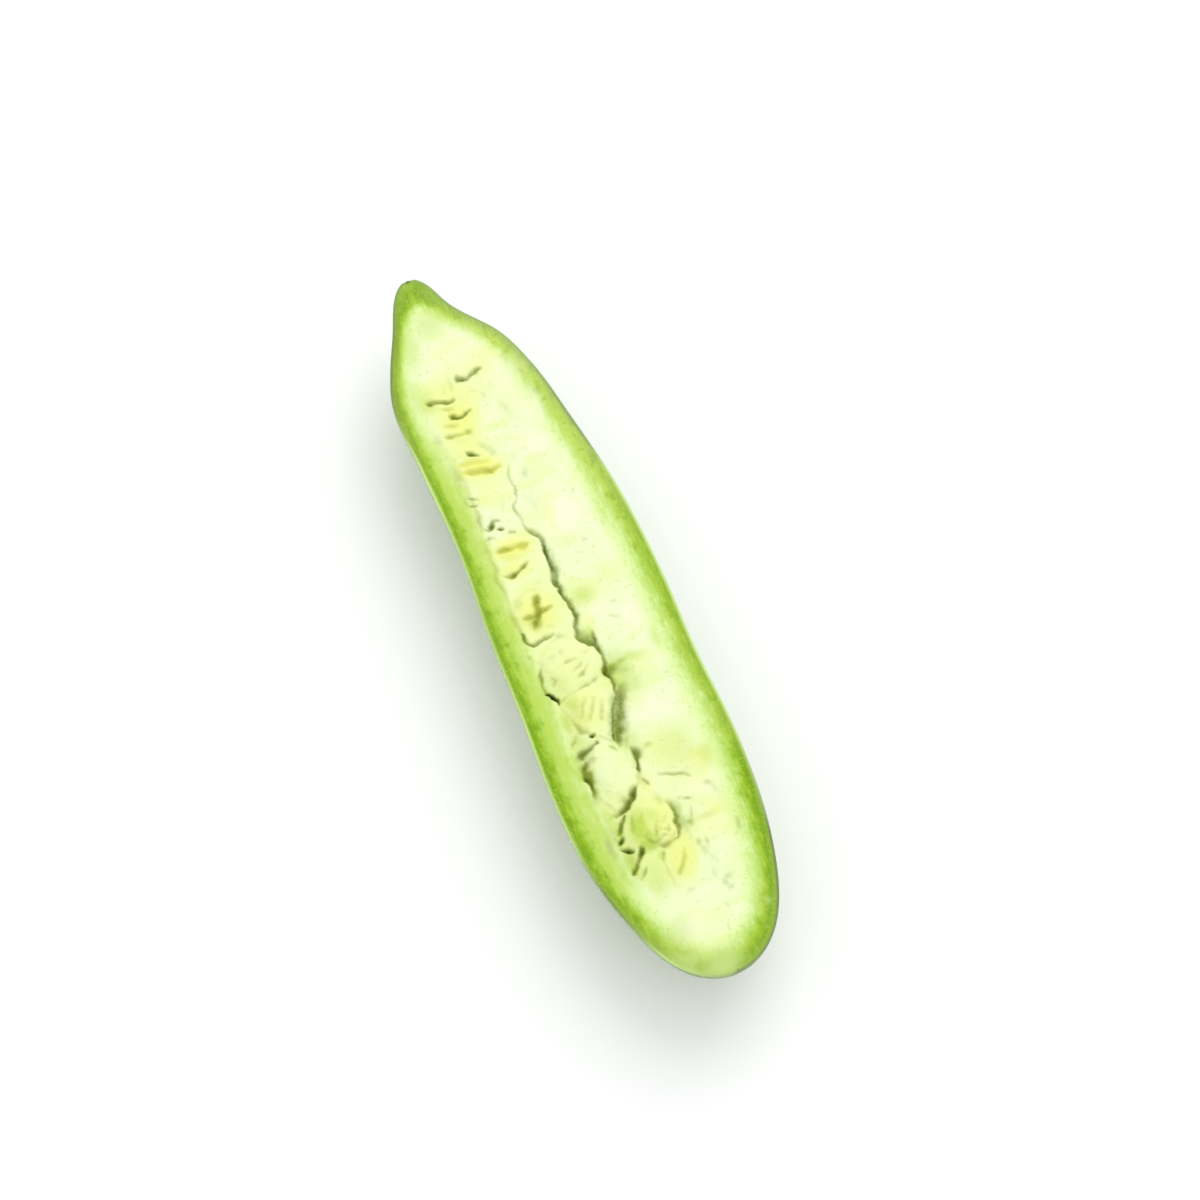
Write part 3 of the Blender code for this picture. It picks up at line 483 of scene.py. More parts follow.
# The flesh's own greener places; a few rows beside the splits paint the shade in the hollows there
GREENER_AND_SHADED = (                  # middle along and across, half-length, half-width, strength, turn if any
    (-4, 4, 3.5, 4.5, 0.5), (20.6, 4.5, 2, 4.5, 0.9, 8), (19.4, 9.5, 1.8, 5, 0.5, -8),
    (27.5, 7.5, 3.6, 3, 0.5), (27, 4.2, 3, 1.5, 0.6, -20), (50, 12, 9, 8, 0.25), (73.5, 6, 3, 2, 0.4),
    (69.5, 4.2, 4.5, 1.6, 0.4), (47.3, 4, 1.4, 2.6, 0.35), (70, -8.2, 6, 3.4, 0.95, -12),
    (75, -7, 3.6, 3.6, 0.95), (68, -5, 4, 4, 0.4), (80, -5.4, 2.2, 1.5, 0.6), (73, -3.6, 2.4, 1.2, 0.4),
    (72.5, -8.4, 2.6, 1.1, 0.5, 20), (66.6, -5.8, 1.2, 1, 0.4), (75.2, -5.2, 1, 1.9, 0.4, -10),
    (27, -12, 3.2, 3, 0.5), (33, -12, 4, 3, 0.3), (50, -15.4, 5, 1.8, 0.6), (32, -15.6, 4.5, 2, 0.6),
    (48.5, -18.2, 4, 1.4, 0.9), (72, -15.4, 4, 2.4, 0.7), (32, -18.4, 4, 1.2, 0.5), (-80, -17.4, 5, 4, 0.5),
    (17, 2.6, 4, 1.6, 0.4), (8, 1.4, 3, 1.6, 0.45), (72, 18.5, 8, 2, 0.15), (56, 19, 4, 3, 0.4),
    (8, 0.2, 3.6, 1.7, 0.55, 12), (20.5, -20.4, 3, 2.6, 0.5), (5, -18.2, 2.2, 0.9, 0.35),
    (82, -9.4, 5, 3, 0.2), (-28, 19.5, 8, 2, 0.35), (16, 19, 4, 1.6, 0.4), (69, -17.6, 5, 2.4, 0.8),
    (45, -17.8, 5, 2.2, 0.7), (20, -17.6, 5, 2.2, 0.6), (3, -18, 5, 1.6, 0.6), (69, -14, 4, 2.2, 0.75),
    (20.5, 6, 3.4, 3, 0.5), (-105, -6, 6, 6, 0.45), (-98, -14, 9, 3, 0.45, -20), (-84, -18.5, 7, 3, 0.4),
    (40, -15.5, 5, 3.5, 0.5), (79, -14.5, 7, 3.2, 0.75), (65, -15.5, 6, 3, 0.6), (86, -9, 7, 4, 0.35),
    (79, -17, 8, 2.4, 0.5), (20, -14, 6, 4, 0.3), (23, 5.5, 8, 4.5, 0.65), (44, -1, 5, 4, 0.45),
    (-12, -18, 8, 1.6, 0.3), (43, -14.6, 2.2, 3, 0.4, 20), (56, -15.6, 4, 1.6, 0.4),
    (-26, -17, 7, 1.2, 0.4), (21.4, 3.4, 1.6, 2.4, 0.6), (-17, -18, 5, 1.2, 0.4),
)
PALER = (                    # where the rind of the blossom end is pale, listed like the greener places
    (117, -1.5, 4.5, 6.5, 0.95), (112, -10, 4, 6, 0.6, -20), (104, 18, 1.6, 1.4, 0.5),
    (115, -12, 4, 5, 0.7, -30), (104, -10, 5, 4.5, 0.4, -20),
)
YELLOWER = (                 # listed like the greener places
    (-80, -10, 5, 7, 0.5), (-71, -9, 9, 6.5, 0.8), (-62, -10, 7, 6, 0.5), (-54.2, -9, 4.2, 6.8, 1.1, -10),
    (-45, -9, 6, 5, 0.3), (-25.5, -9.5, 4.4, 6.8, 0.9), (-19, -11, 4, 6, 0.6),
    (-3.5, -10.5, 7.5, 6.5, 0.95), (1, -13, 5, 3.5, 0.4), (83.5, 0, 7.5, 4.5, 0.75, -20),
    (78, 1, 4, 4, 0.5), (70, -1.6, 7, 5, 0.5), (51, 9, 8, 9, 0.45), (31, -10, 8, 5.5, 0.45),
    (104, -2, 10, 9, 0.15), (63, 13, 6, 6, 0.3), (77, 12, 5, 9, 0.35), (21, 12, 3, 6, 0.4),
    (-4, 5, 4.5, 6, 0.5), (-33, 5, 8, 2.4, 0.3, -8), (-92, -4, 9, 7, 0.15), (15, -8, 9, 8, 0.2),
    (5, 2.4, 5, 2.4, 0.5), (25, 3, 6, 3, 0.5), (56.5, 17, 5, 4, 0.6), (-88, 4, 5, 6, 0.35),
    (72, 15, 5, 5, 0.45), (57, 0, 5, 3, 0.4), (80, 6, 4, 3, 0.4), (32, 6, 4, 3, 0.3), (71, -7.5, 6, 4, 0.6),
)
CREAMIER = (                 # listed like the greener places
    (-31, 9.5, 6, 6, 0.9), (-67, 14.6, 8, 2.2, 0.5), (-56, 9, 4, 6, 0.5), (8, 15.5, 5, 3.8, 0.7),
    (39, 10.5, 7, 7, 0.5), (64, 13, 3.5, 6, 0.7), (-81, 9, 6, 7, 0.35), (0, 7, 4, 3, 0.4),
    (-48, 16.6, 4, 2, 0.4), (96, 1, 7, 6, 0.3), (-97, -2, 5, 8, 0.3), (103, -4, 3.5, 6, 0.5, 20),
    (104, 10, 2.5, 3, 0.4), (-31, -18.6, 7, 1.5, 0.45), (35, -18.6, 3, 1.2, 0.35),
    (10, -18.9, 2.5, 0.9, 0.35), (25, -18.2, 1.6, 0.8, 0.3), (52, -19.4, 6, 1.2, 0.3),
    (-10, -18.4, 2.6, 0.8, 0.25), (85, 2.8, 1.6, 1.6, 0.4),
)
# Small grey-olive marks in the flesh, and painted shade beside the splits and on the sides of the swellings
MARKS_AND_SHADE = (                    # grey-olive marks and painted shade, listed the same way
    (-103, -17.2, 13, 1.4, 0.5, -22), (-84, -24.4, 8, 1.4, 0.5, -13), (-66, -25.4, 10, 1.1, 0.25, 2),
    (-47.3, 2.9, 2, 1.3, 0.3, -20), (-47, 5.4, 0.5, 1.8, 0.14, -15), (-53.9, 1.8, 1.6, 0.9, 0.12),
    (-83, -7.2, 2.4, 0.9, 0.2), (-82, -9.6, 2.4, 0.8, 0.12, -10), (-78.4, -1.6, 0.6, 1.9, 0.16, -15),
    (-76, 0.9, 1.6, 0.7, 0.2, 10), (-70, 5.4, 3.6, 1.4, 0.16, 20), (-78, 3.8, 1.4, 1, 0.08),
    (-36.6, 14.3, 1.3, 0.6, 0.25, -40), (-37, 1.6, 2.8, 1.4, 0.14), (-39.4, -7.2, 2, 0.6, 0.14, -20),
    (-20.3, 11.4, 0.8, 1.2, 0.28), (1, 12, 0.8, 1.1, 0.28), (5.8, 10.4, 1.9, 0.5, 0.25, 65),
    (64.4, 15.9, 0.8, 1.3, 0.38, -30), (66.4, 17.1, 1.8, 0.6, 0.26, 15), (66.8, 8.5, 0.7, 1.3, 0.58, -18),
    (65.8, 6.6, 0.8, 0.8, 0.32), (79.2, 19.4, 2.2, 0.7, 0.45, -5), (93, 10.2, 1.1, 1.7, 0.3, 15),
    (94.4, 8.9, 1.5, 0.9, 0.36), (96.3, 9.8, 0.9, 1.1, 0.3), (81, 8.8, 1.5, 0.7, 0.4, -10),
    (80.5, 6.6, 1.5, 0.9, 0.42, -8), (83.2, 7.2, 1.8, 1.1, 0.26), (90.8, 6.9, 2, 0.8, 0.2, -8),
    (86.4, 8.8, 2.2, 0.7, 0.14, 8), (80.8, 11.2, 1, 0.5, 0.14), (101.2, 6.7, 1.2, 0.7, 0.12, 20),
    (115.6, -5.6, 1.4, 2, 0.2), (77.8, 5, 1.6, 0.6, 0.16), (73.8, 6.6, 1.1, 1.4, 0.5),
    (68.4, 4.7, 3, 1.3, 0.24, -8), (72.9, 4.5, 2.4, 1.3, 0.4, -10), (75.6, 4.6, 1.4, 1, 0.24, -20),
    (64.1, 0.6, 2.6, 1.1, 0.16), (92.8, -0.9, 0.8, 1.3, 0.22), (73.6, 12, 1, 3.2, 0.16, -8),
    (49.8, 13.4, 1, 0.6, 0.1, -40), (58, 12.2, 0.6, 0.6, 0.14), (47.2, 4.4, 0.9, 1.2, 0.24),
    (47.9, 1.2, 1.4, 1.4, 0.18), (44, -1.4, 2, 0.7, 0.3, -22), (-18.4, 0.6, 4.2, 0.9, 0.26, -4),
    (-14, 0.8, 1.8, 0.6, 0.22, -22), (-25.4, 0.4, 1.6, 0.7, 0.16), (-8.4, -0.2, 1.4, 0.7, 0.2),
    (0.4, 1, 2.2, 1.1, 0.12), (9.8, 0.9, 2.4, 1.5, 0.58, 30), (8.2, -0.8, 2.6, 1.2, 0.48, 10),
    (16.8, 4.2, 1.5, 0.7, 0.16), (14.4, 3.2, 3, 0.7, 0.2, -6), (21.3, 3, 1.8, 2.8, 0.9, 8),
    (19.6, 6.6, 0.9, 1.8, 0.36), (22.4, 5, 1, 2.6, 0.24, -12), (27.6, 4.4, 1.6, 1.8, 0.46, -25),
    (26, 3.2, 3, 0.8, 0.24), (-12.6, -6.4, 1, 1.2, 0.1), (-8, -14.8, 1.2, 1.9, 0.22, 25),
    (1.8, -8.4, 0.5, 1.4, 0.14, -20), (5.8, -7.2, 0.9, 1.3, 0.2), (6.8, -9.7, 0.5, 0.5, 0.2),
    (10.6, -8.8, 1.1, 1, 0.2, 20), (11.4, -11.9, 0.9, 1.5, 0.24, 15), (12.8, -15.4, 1, 1.2, 0.18, 20),
    (9, -17.8, 1, 0.8, 0.22), (19.2, -5.4, 0.5, 0.9, 0.28, 25), (29.5, -11.8, 3.4, 1.8, 0.16, -12),
    (35.8, -12.8, 1.2, 0.9, 0.3, -20), (45.4, -12.8, 1.3, 1.6, 0.44), (42.4, -13.6, 1.3, 2, 0.36, 10),
    (50.4, -15.2, 4.2, 1.2, 0.34), (39, -1.6, 4, 1.4, 0.22, -20), (51.2, -1.4, 3, 1.3, 0.24, -12),
    (69.5, -15.6, 3, 0.8, 0.2), (46.4, -15.6, 1.6, 1.6, 0.4), (57.2, -16.4, 2.4, 1.3, 0.24),
    (60.8, -8.6, 1.2, 2, 0.36, -38), (63.8, -13.4, 0.8, 1.6, 0.3, 20), (76.8, -6, 1.2, 2, 0.2, 10),
    (73, -15, 1.2, 0.8, 0.2), (78.2, -13.8, 2, 1.6, 0.2, -20), (72.8, -18.2, 3.6, 1.2, 0.42),
    (56, -1.8, 2.4, 1.2, 0.28), (81.4, -17.8, 1.4, 0.8, 0.16), (-66.6, -17.4, 1.8, 1.2, 0.2),
    (-53.4, -16.2, 3.6, 1.4, 0.24, 12), (-31.2, -15.4, 0.8, 1, 0.22), (-21.8, -16.6, 2.4, 0.9, 0.2, 10),
    (0.4, -16.9, 2.4, 0.6, 0.22), (-13.4, -17, 1.6, 0.6, 0.16),
)


def tint(places, px, py):
    """How far a tint has gone at each place, from a list of soft ovals."""
    gone = np.zeros(len(px))
    for shape in places:
        gone = np.maximum(gone, shape[4] * np.exp(-1.2 * oval(px, py, shape) ** 2.5))
    return gone


OUTLINE_POINTS = 8000
MID_RIND = 4.5               # depth in the rind about which its edge is made crisper
STRIP_STRENGTH = 0.66        # of the green strip between the core and the rind

outline = KDTree(OUTLINE_POINTS)
for number, around in enumerate(np.linspace(0, 2 * math.pi, OUTLINE_POINTS, endpoint=False)):
    out_x = HALF_LENGTH * math.cos(around)
    rim_y = middle(np.array([out_x]))[0] + math.copysign(half_width(np.array([out_x]))[0], math.sin(around))
    outline.insert((out_x, rim_y, 0), number)
outline.balance()
from_skin = np.array([outline.find((a, b, 0))[2] for a, b in zip(face_x, face_y)])
plus_side = fade(-2.5, 2.5, face_y - middle(face_x))


def by_side(stations, plus, minus):
    """One column of some stations on the +Y side of the cut face, and another on the -Y side."""
    to_minus = smooth_run(stations, minus, face_x) * (1 - plus_side)
    return smooth_run(stations, plus, face_x) * plus_side + to_minus


into_flesh = MID_RIND + (from_skin / by_side(RIND, 1, 2) - MID_RIND) * smooth_run(RIND, 3, face_x)
into_flesh += 0.55 * wobble(face_x, face_y, 4.5, 21.5) * fade(8, 5, into_flesh)
mottled = 1.1 + 0.4 * wobble(face_x / 3, face_y, 2.2, 17.5) + 0.25 * wobble(face_x / 2, face_y, 0.9, 18.5)
strip = mottled * fade(1.2, -2.2, face_y - low_edge) * fade(-86, -46, face_x) * fade(93, 80, face_x)

# What each point keeps for the material; the points under the skin keep 0
KEPT = {
    "into_flesh": into_flesh,
    "pale_rind": by_side(RIND, 4, 5),
    "runs_straight": fade(0.75, 0.25, abs(lean[on_face])),
    "edge_highlight_share": by_side(EDGE_HIGHLIGHT_AND_SHADE, 1, 2),
    "at_edge": 0.65 * fade(1.1, 0.6, from_skin),
    "core": core * smooth_run(CORE, 3, face_x),
    "split_shade": split_shade,
    "golden": golden,
    "greener_and_shaded": np.maximum(tint(GREENER_AND_SHADED, torn_x, torn_y), STRIP_STRENGTH * strip),
    "paler": tint(PALER, torn_x, torn_y),
    "yellower": tint(YELLOWER, torn_x, torn_y),
    "creamier": tint(CREAMIER, torn_x, torn_y),
    "marks_and_shade": tint(MARKS_AND_SHADE, torn_x, torn_y),
}
for name, face_values in KEPT.items():
    values = np.zeros(len(x))
    values[on_face] = face_values
    keep_on_points(cut_flesh, name, values)

WHITE_GIVES = 0.92           # what part of the light comes back from what looks pure white
GLOSS_ADDS = 0.016           # and what the gloss adds to every colour


def seen(red, green, blue):
    """A colour as it looks on a screen, 0 to 255, as the shader takes it."""
    shares = [value / 255 for value in (red, green, blue)]
    linear = [s / 12.92 if s < 0.0405 else ((s + 0.055) / 1.055) ** 2.4 for s in shares]
    return (*[max(WHITE_GIVES * value - GLOSS_ADDS, 0.002) for value in linear], 1.0)


def new_material(name):
    """A material with an empty Principled shader, and its node tree."""
    made = bpy.data.materials.new(name)
    made.use_nodes = True
    return made, made.node_tree, made.node_tree.nodes["Principled BSDF"]


def put(tree, socket, value):
    """Link another node's output to a socket, or set the socket to a plain value."""
    if isinstance(value, bpy.types.NodeSocket):
        tree.links.new(value, socket)
    else:
        socket.default_value = value


def new_group(name, sockets):
    """An empty node group with named inputs and outputs, with its input and its output node."""
    made = bpy.data.node_groups.new(name, "ShaderNodeTree")
    for in_out, socket, kind in sockets:
        made.interface.new_socket(name=socket, in_out=in_out, socket_type="NodeSocket" + kind)
    return made, made.nodes.new("NodeGroupInput").outputs, made.nodes.new("NodeGroupOutput").inputs


def with_group(tree, group, values):
    """Place a node group in a material with the material's own values; its colour comes back."""
    made = tree.nodes.new("ShaderNodeGroup")
    made.node_tree = group
    for name, value in values.items():
        put(tree, made.inputs[name], value)
    return made.outputs["Colour"]


def object_place(tree, stretch=(1, 1, 1)):
    """The place on the object, squeezed by stretch along each axis."""
    coordinates = tree.nodes.new("ShaderNodeTexCoord")
    mapping = tree.nodes.new("ShaderNodeMapping")
    mapping.inputs["Scale"].default_value = stretch
    tree.links.new(coordinates.outputs["Object"], mapping.inputs["Vector"])
    return mapping.outputs["Vector"]


def kept(tree, name):
    """A value that the mesh keeps on its points."""
    attribute = tree.nodes.new("ShaderNodeAttribute")
    attribute.attribute_name = name
    return attribute.outputs["Fac"]


def clouds(tree, place, size, detail=2.0, roughness=0.5):
    """Noise from 0 to 1 in clouds of about size, in millimetres."""
    made = tree.nodes.new("ShaderNodeTexNoise")
    made.inputs["Scale"].default_value = 1 / (size * MM)
    made.inputs["Detail"].default_value = detail
    made.inputs["Roughness"].default_value = roughness
    tree.links.new(place, made.inputs["Vector"])
    return made.outputs["Fac"]


def spread(tree, value, low, high, to_low=0.0, to_high=1.0):
    """A value spread softly from one range to another, and held at its ends."""
    made = tree.nodes.new("ShaderNodeMapRange")
    made.interpolation_type = "SMOOTHSTEP"
    for name, bound in (("From Min", low), ("From Max", high), ("To Min", to_low), ("To Max", to_high)):
        put(tree, made.inputs[name], bound)
    put(tree, made.inputs["Value"], value)
    return made.outputs["Result"]


def sums(tree, kind, first, second):
    """Two values put through one kind of sum."""
    made = tree.nodes.new("ShaderNodeMath")
    made.operation = kind
    put(tree, made.inputs[0], first)
    put(tree, made.inputs[1], second)
    return made.outputs[0]


def tinted(tree, amount, under, over, kind="MIX"):
    """One colour laid over another by an amount."""
    made = tree.nodes.new("ShaderNodeMix")
    made.data_type = "RGBA"
    made.blend_type = kind
    put(tree, made.inputs["Factor"], amount)
    put(tree, made.inputs[6], under)
    put(tree, made.inputs[7], over)
    return made.outputs[2]


def colour_run(tree, value, stops):
    """Colours along a run of a value from 0 to 1."""
    made = tree.nodes.new("ShaderNodeValToRGB")
    points = made.color_ramp.elements
    while len(points) < len(stops):
        points.new(0.5)
    for point, (place, colour) in zip(points, stops):
        point.position = place
        point.color = colour
    put(tree, made.inputs["Fac"], value)
    return made.outputs["Color"]


# The fresh cut's fine line at the skin, for the flesh and for the skin's own edge: painted shade where it
# is dull, painted highlight where it is pale
edge_highlight_and_shade, given, result = new_group("edge_highlight_and_shade", (
    ("INPUT", "Surface", "Color"),
    ("INPUT", "Shade line", "Color"),
    ("INPUT", "Highlight line", "Color"),
    ("INPUT", "Highlight share", "Float"),
    ("INPUT", "Amount", "Float"),
    ("OUTPUT", "Colour", "Color"),
))
line = tinted(edge_highlight_and_shade, given["Highlight share"], given["Shade line"], given["Highlight line"])
put(edge_highlight_and_shade, result["Colour"], tinted(edge_highlight_and_shade, given["Amount"], given["Surface"], line))

# A tint in soft clouds, as in rind and in waxy skin
clouded, given, result = new_group("clouded", (
    ("INPUT", "Surface", "Color"),
    ("INPUT", "Tint", "Color"),
    ("INPUT", "Place", "Vector"),
    ("INPUT", "Clouds per metre", "Float"),
    ("INPUT", "None at", "Float"),
    ("INPUT", "Most at", "Float"),
    ("INPUT", "Amount", "Float"),
    ("OUTPUT", "Colour", "Color"),
))
cloud = clouds(clouded, given["Place"], 1)
put(clouded, cloud.node.inputs["Scale"], given["Clouds per metre"])
cloud = spread(clouded, cloud, given["None at"], given["Most at"], 0.0, given["Amount"])
put(clouded, result["Colour"], tinted(clouded, cloud, given["Surface"], given["Tint"]))


def clouded_over(tree, colour, rows, inside=None):
    """A colour with tints laid over it in clouds, in full or as far as the inside value goes. A row has
    the place, size in millimetres, where clouds start and are fullest, most of the tint, and the tint."""
    for where, size, none_at, most_at, most, tint_colour in rows:
        colour = with_group(tree, clouded, {
            "Surface": colour,
            "Tint": tint_colour,
            "Place": where,
            "Clouds per metre": 1 / (size * MM),
            "None at": none_at,
            "Most at": most_at,
            "Amount": most if inside is None else sums(tree, "MULTIPLY", inside, most),
        })
    return colour


def bumpy(tree, shader, height, strength, full_height):
    """Give a shader small bumps from a height of 0 to 1, with their full height in millimetres."""
    bump = tree.nodes.new("ShaderNodeBump")
    bump.inputs["Strength"].default_value = strength
    bump.inputs["Distance"].default_value = full_height * MM
    tree.links.new(height, bump.inputs["Height"])
    tree.links.new(bump.outputs["Normal"], shader.inputs["Normal"])


flesh_material, tree, shader = new_material("moist_flesh")
place = object_place(tree)
lengthwise = object_place(tree, (0.22, 1, 1))
crosswise = object_place(tree, (1, 0.45, 1))
fine = clouds(tree, place, 0.9, 3)
soft = clouds(tree, place, 3.5, 2)
broad = clouds(tree, place, 14, 2)
brushed = clouds(tree, lengthwise, 1.1, 2)

# Rind to flesh: distance in from the skin, roughened, read off a run of greens
GREENS_LENGTH = 14.0         # millimetres
ragged = sums(tree, "ADD", kept(tree, "into_flesh"), spread(tree, soft, 0.2, 0.8, -0.5, 0.5))
brushed_in = sums(tree, "MULTIPLY", kept(tree, "runs_straight"), spread(tree, brushed, 0.2, 0.8, -0.6, 0.6))
ragged = sums(tree, "ADD", ragged, brushed_in)
inward = sums(tree, "DIVIDE", ragged, GREENS_LENGTH)
colour = colour_run(tree, inward, (
    (0.00, seen(143, 180, 63)),
    (0.07, seen(125, 166, 29)),
    (0.15, seen(140, 181, 38)),
    (0.23, seen(158, 197, 56)),
    (0.31, seen(180, 215, 93)),
    (0.40, seen(198, 229, 119)),
    (0.50, seen(215, 241, 152)),
    (0.60, seen(230, 251, 172)),
    (0.82, seen(243, 254, 204)),
))
pale_colour = colour_run(tree, inward, (
    (0.00, seen(172, 196, 104)),
    (0.08, seen(182, 208, 98)),
    (0.20, seen(191, 219, 98)),
    (0.34, seen(197, 223, 110)),
    (0.44, seen(209, 233, 136)),
    (0.54, seen(224, 244, 162)),
    (0.65, seen(236, 252, 184)),
    (0.82, seen(243, 254, 204)),
))
colour = tinted(tree, kept(tree, "pale_rind"), colour, pale_colour)
in_rind = spread(tree, inward, 0.42, 0.22)
colour = clouded_over(tree, colour, (
    (lengthwise, 1.1, 0.5, 0.72, 0.24, seen(200, 226, 96)),
    (place, 3.5, 0.48, 0.32, 0.4, seen(124, 168, 30)),
    (place, 0.8, 0.54, 0.72, 0.34, seen(204, 230, 104)),
    (place, 1.3, 0.42, 0.26, 0.20, seen(122, 164, 30)),
), in_rind)
colour = with_group(tree, edge_highlight_and_shade, {
    "Surface": colour,
    "Shade line": seen(126, 150, 66),
    "Highlight line": seen(204, 236, 134),
    "Highlight share": kept(tree, "edge_highlight_share"),
    "Amount": kept(tree, "at_edge"),
})

# Just inside the rind the green breaks up into paler and greener flecks
where_broken = sums(tree, "MULTIPLY", spread(tree, inward, 0.26, 0.40), spread(tree, inward, 0.74, 0.58))
colour = clouded_over(tree, colour, (
    (lengthwise, 0.9, 0.50, 0.68, 0.40, seen(236, 252, 184)),
    (place, 1.4, 0.49, 0.30, 0.34, seen(182, 215, 92)),
), where_broken)

# Faint dabs of green in the flesh, cream and pale green clouds, and the tints kept on the points, the
# greener of which is partly painted shade in hollows beside the splits
in_flesh = spread(tree, inward, 0.44, 0.60)
colour = clouded_over(tree, colour, ((place, 1.5, 0.58, 0.76, 0.5, seen(206, 222, 136)),), in_flesh)
colour = tinted(tree, spread(tree, broad, 0.46, 0.66, 0, 0.6), colour, seen(240, 251, 182), "DARKEN")
streaky = clouds(tree, crosswise, 4.5, 3)
colour = tinted(tree, spread(tree, streaky, 0.48, 0.70, 0, 0.6), colour, seen(233, 248, 166), "DARKEN")
KEPT_TINTS = (               # name on the points, strength, colour, how it is laid over what is there
    ("creamier", 0.9, seen(254, 254, 226), "MIX"),
    ("paler", 1, seen(196, 220, 132), "MIX"),
    ("core", 0.9, seen(239, 249, 166), "MIX"),
    ("yellower", 0.85, seen(243, 245, 128), "MIX"),
    ("greener_and_shaded", 1, seen(192, 220, 92), "DARKEN"),
    ("golden", 0.75, seen(236, 240, 126), "MIX"),
)
for name, strength, tint_colour, kind in KEPT_TINTS:
    amount = sums(tree, "MULTIPLY", kept(tree, name), strength)
    colour = tinted(tree, amount, colour, tint_colour, kind)
blotched = spread(tree, fine, 0.35, 0.65, 0.90, 1.08)
# Grey-olive marks, and painted shade beside the splits and on the swellings' sides
colour = tinted(tree, sums(tree, "MULTIPLY", kept(tree, "marks_and_shade"), blotched), colour, seen(134, 152, 56))
# Painted shade in the splits, slits and folds: olive, yellower round the seeds, nearly black where deepest
split_shade_now = sums(tree, "MULTIPLY", kept(tree, "split_shade"), blotched)
olive = tinted(tree, kept(tree, "golden"), seen(112, 132, 14), seen(170, 178, 50))
colour = tinted(tree, spread(tree, split_shade_now, -0.24, 0.94, -0.12, 0.97), colour, olive)
colour = tinted(tree, spread(tree, split_shade_now, 0.70, 1.30), colour, seen(46, 74, 6))
tree.links.new(colour, shader.inputs["Base Color"])

# Moist surface: fine cells all over, coarser in the core
cells = clouds(tree, place, 0.45, 3, 0.6)
height = sums(tree, "ADD", cells, sums(tree, "MULTIPLY", fine, sums(tree, "ADD", 0.6, kept(tree, "core"))))
bumpy(tree, shader, height, 0.35, 0.25)
tree.links.new(spread(tree, soft, 0.3, 0.7, 0.34, 0.5), shader.inputs["Roughness"])
glow = sums(tree, "MULTIPLY", spread(tree, in_rind, 0.0, 0.6, 0.15, 0.02),
            spread(tree, split_shade_now, 0.1, 0.45, 1, 0))
tree.links.new(glow, shader.inputs["Subsurface Weight"])
shader.inputs["Subsurface Radius"].default_value = (1.0, 1.0, 0.5)
shader.inputs["Subsurface Scale"].default_value = 2.0 * MM
shader.inputs["Specular IOR Level"].default_value = 0.16

cut_flesh.data.materials.append(flesh_material)
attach(cut_flesh, "root")
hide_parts("snake_gourd_half")

# The speckled skin
# The thin tough skin round the back, grown onto the rind, grey-green and waxy, with pale flecks and
# dashes. The knife left its edge as a fine line round the cut face, painted highlight where it is pale and
# painted shade where it is dull.
SKIN_SIDES = 160
SKIN_RINGS = 420
EDGE = 28.0                  # height of the cut edge

speckled_skin = new_ball("speckled_skin", SKIN_SIDES, SKIN_RINGS)
bpy.ops.object.mode_set(mode="EDIT")
bpy.ops.mesh.select_all(action="SELECT")
bpy.ops.mesh.bisect(plane_co=(0, 0, 0), plane_no=(0, 0, 1), clear_outer=True)
bpy.ops.object.mode_set(mode="OBJECT")

ball = points_of(speckled_skin)
slope = np.arctan2(ball[:, 2], ball[:, 1])
x = HALF_LENGTH * ball[:, 0]
ridges = 0.5 + 0.5 * np.cos(slope * 20 + 0.5 * np.sin(x / 19) + 1.0)
uneven = np.array([noise.noise(Vector((a / 16, 2.2 * math.cos(b), 2.2 * math.sin(b))))
                   for a, b in zip(x, slope)])
below = np.clip(-np.sin(slope), 0, 1)
sunken = (0.16 * ridges + 0.18 * (0.5 + 0.5 * uneven)) * fade(0.02, 0.35, below)
y = middle(x) + np.maximum(half_width(x) - sunken, 0) * np.cos(slope)
z = EDGE + np.maximum(depth(x) - sunken, 0) * np.sin(slope)
z = np.maximum(z, CLEAR)
from_tip = np.where(x < 0, np.hypot(y - middle(x), z - EDGE), 99)
from_blossom = np.where(x > 0, np.hypot(y - middle(x), z - EDGE), 99)
x += 0.32 * fade(1.9, 1.2, from_tip) - 0.25 * fade(1.6, 0.8, from_blossom)
move_points(speckled_skin, np.stack([x, y - ASIDE, z], axis=1) * MM)
keep_on_points(speckled_skin, "round_back", slope / math.pi)
keep_on_points(speckled_skin, "from_tip", from_tip)
keep_on_points(speckled_skin, "from_blossom", from_blossom)
edge_highlight_share = np.where(y > middle(x), smooth_run(EDGE_HIGHLIGHT_AND_SHADE, 1, x), smooth_run(EDGE_HIGHLIGHT_AND_SHADE, 2, x))
keep_on_points(speckled_skin, "edge_highlight_share", edge_highlight_share)
keep_on_points(speckled_skin, "cut_edge", fade(27.2, 27.9, z))

thicken = speckled_skin.modifiers.new("thickness", "SOLIDIFY")
thicken.thickness = SKIN * MM
thicken.offset = -1
thicken.use_even_offset = False
bpy.ops.object.modifier_apply(modifier="thickness")
bpy.ops.object.shade_smooth_by_angle(angle=math.radians(50))

skin_material, tree, shader = new_material("speckled_skin")
place = object_place(tree)
along_fruit = object_place(tree, (0.45, 1, 1))
drawn_out = object_place(tree, (0.10, 1, 1))
patches = clouds(tree, along_fruit, 7, 3)


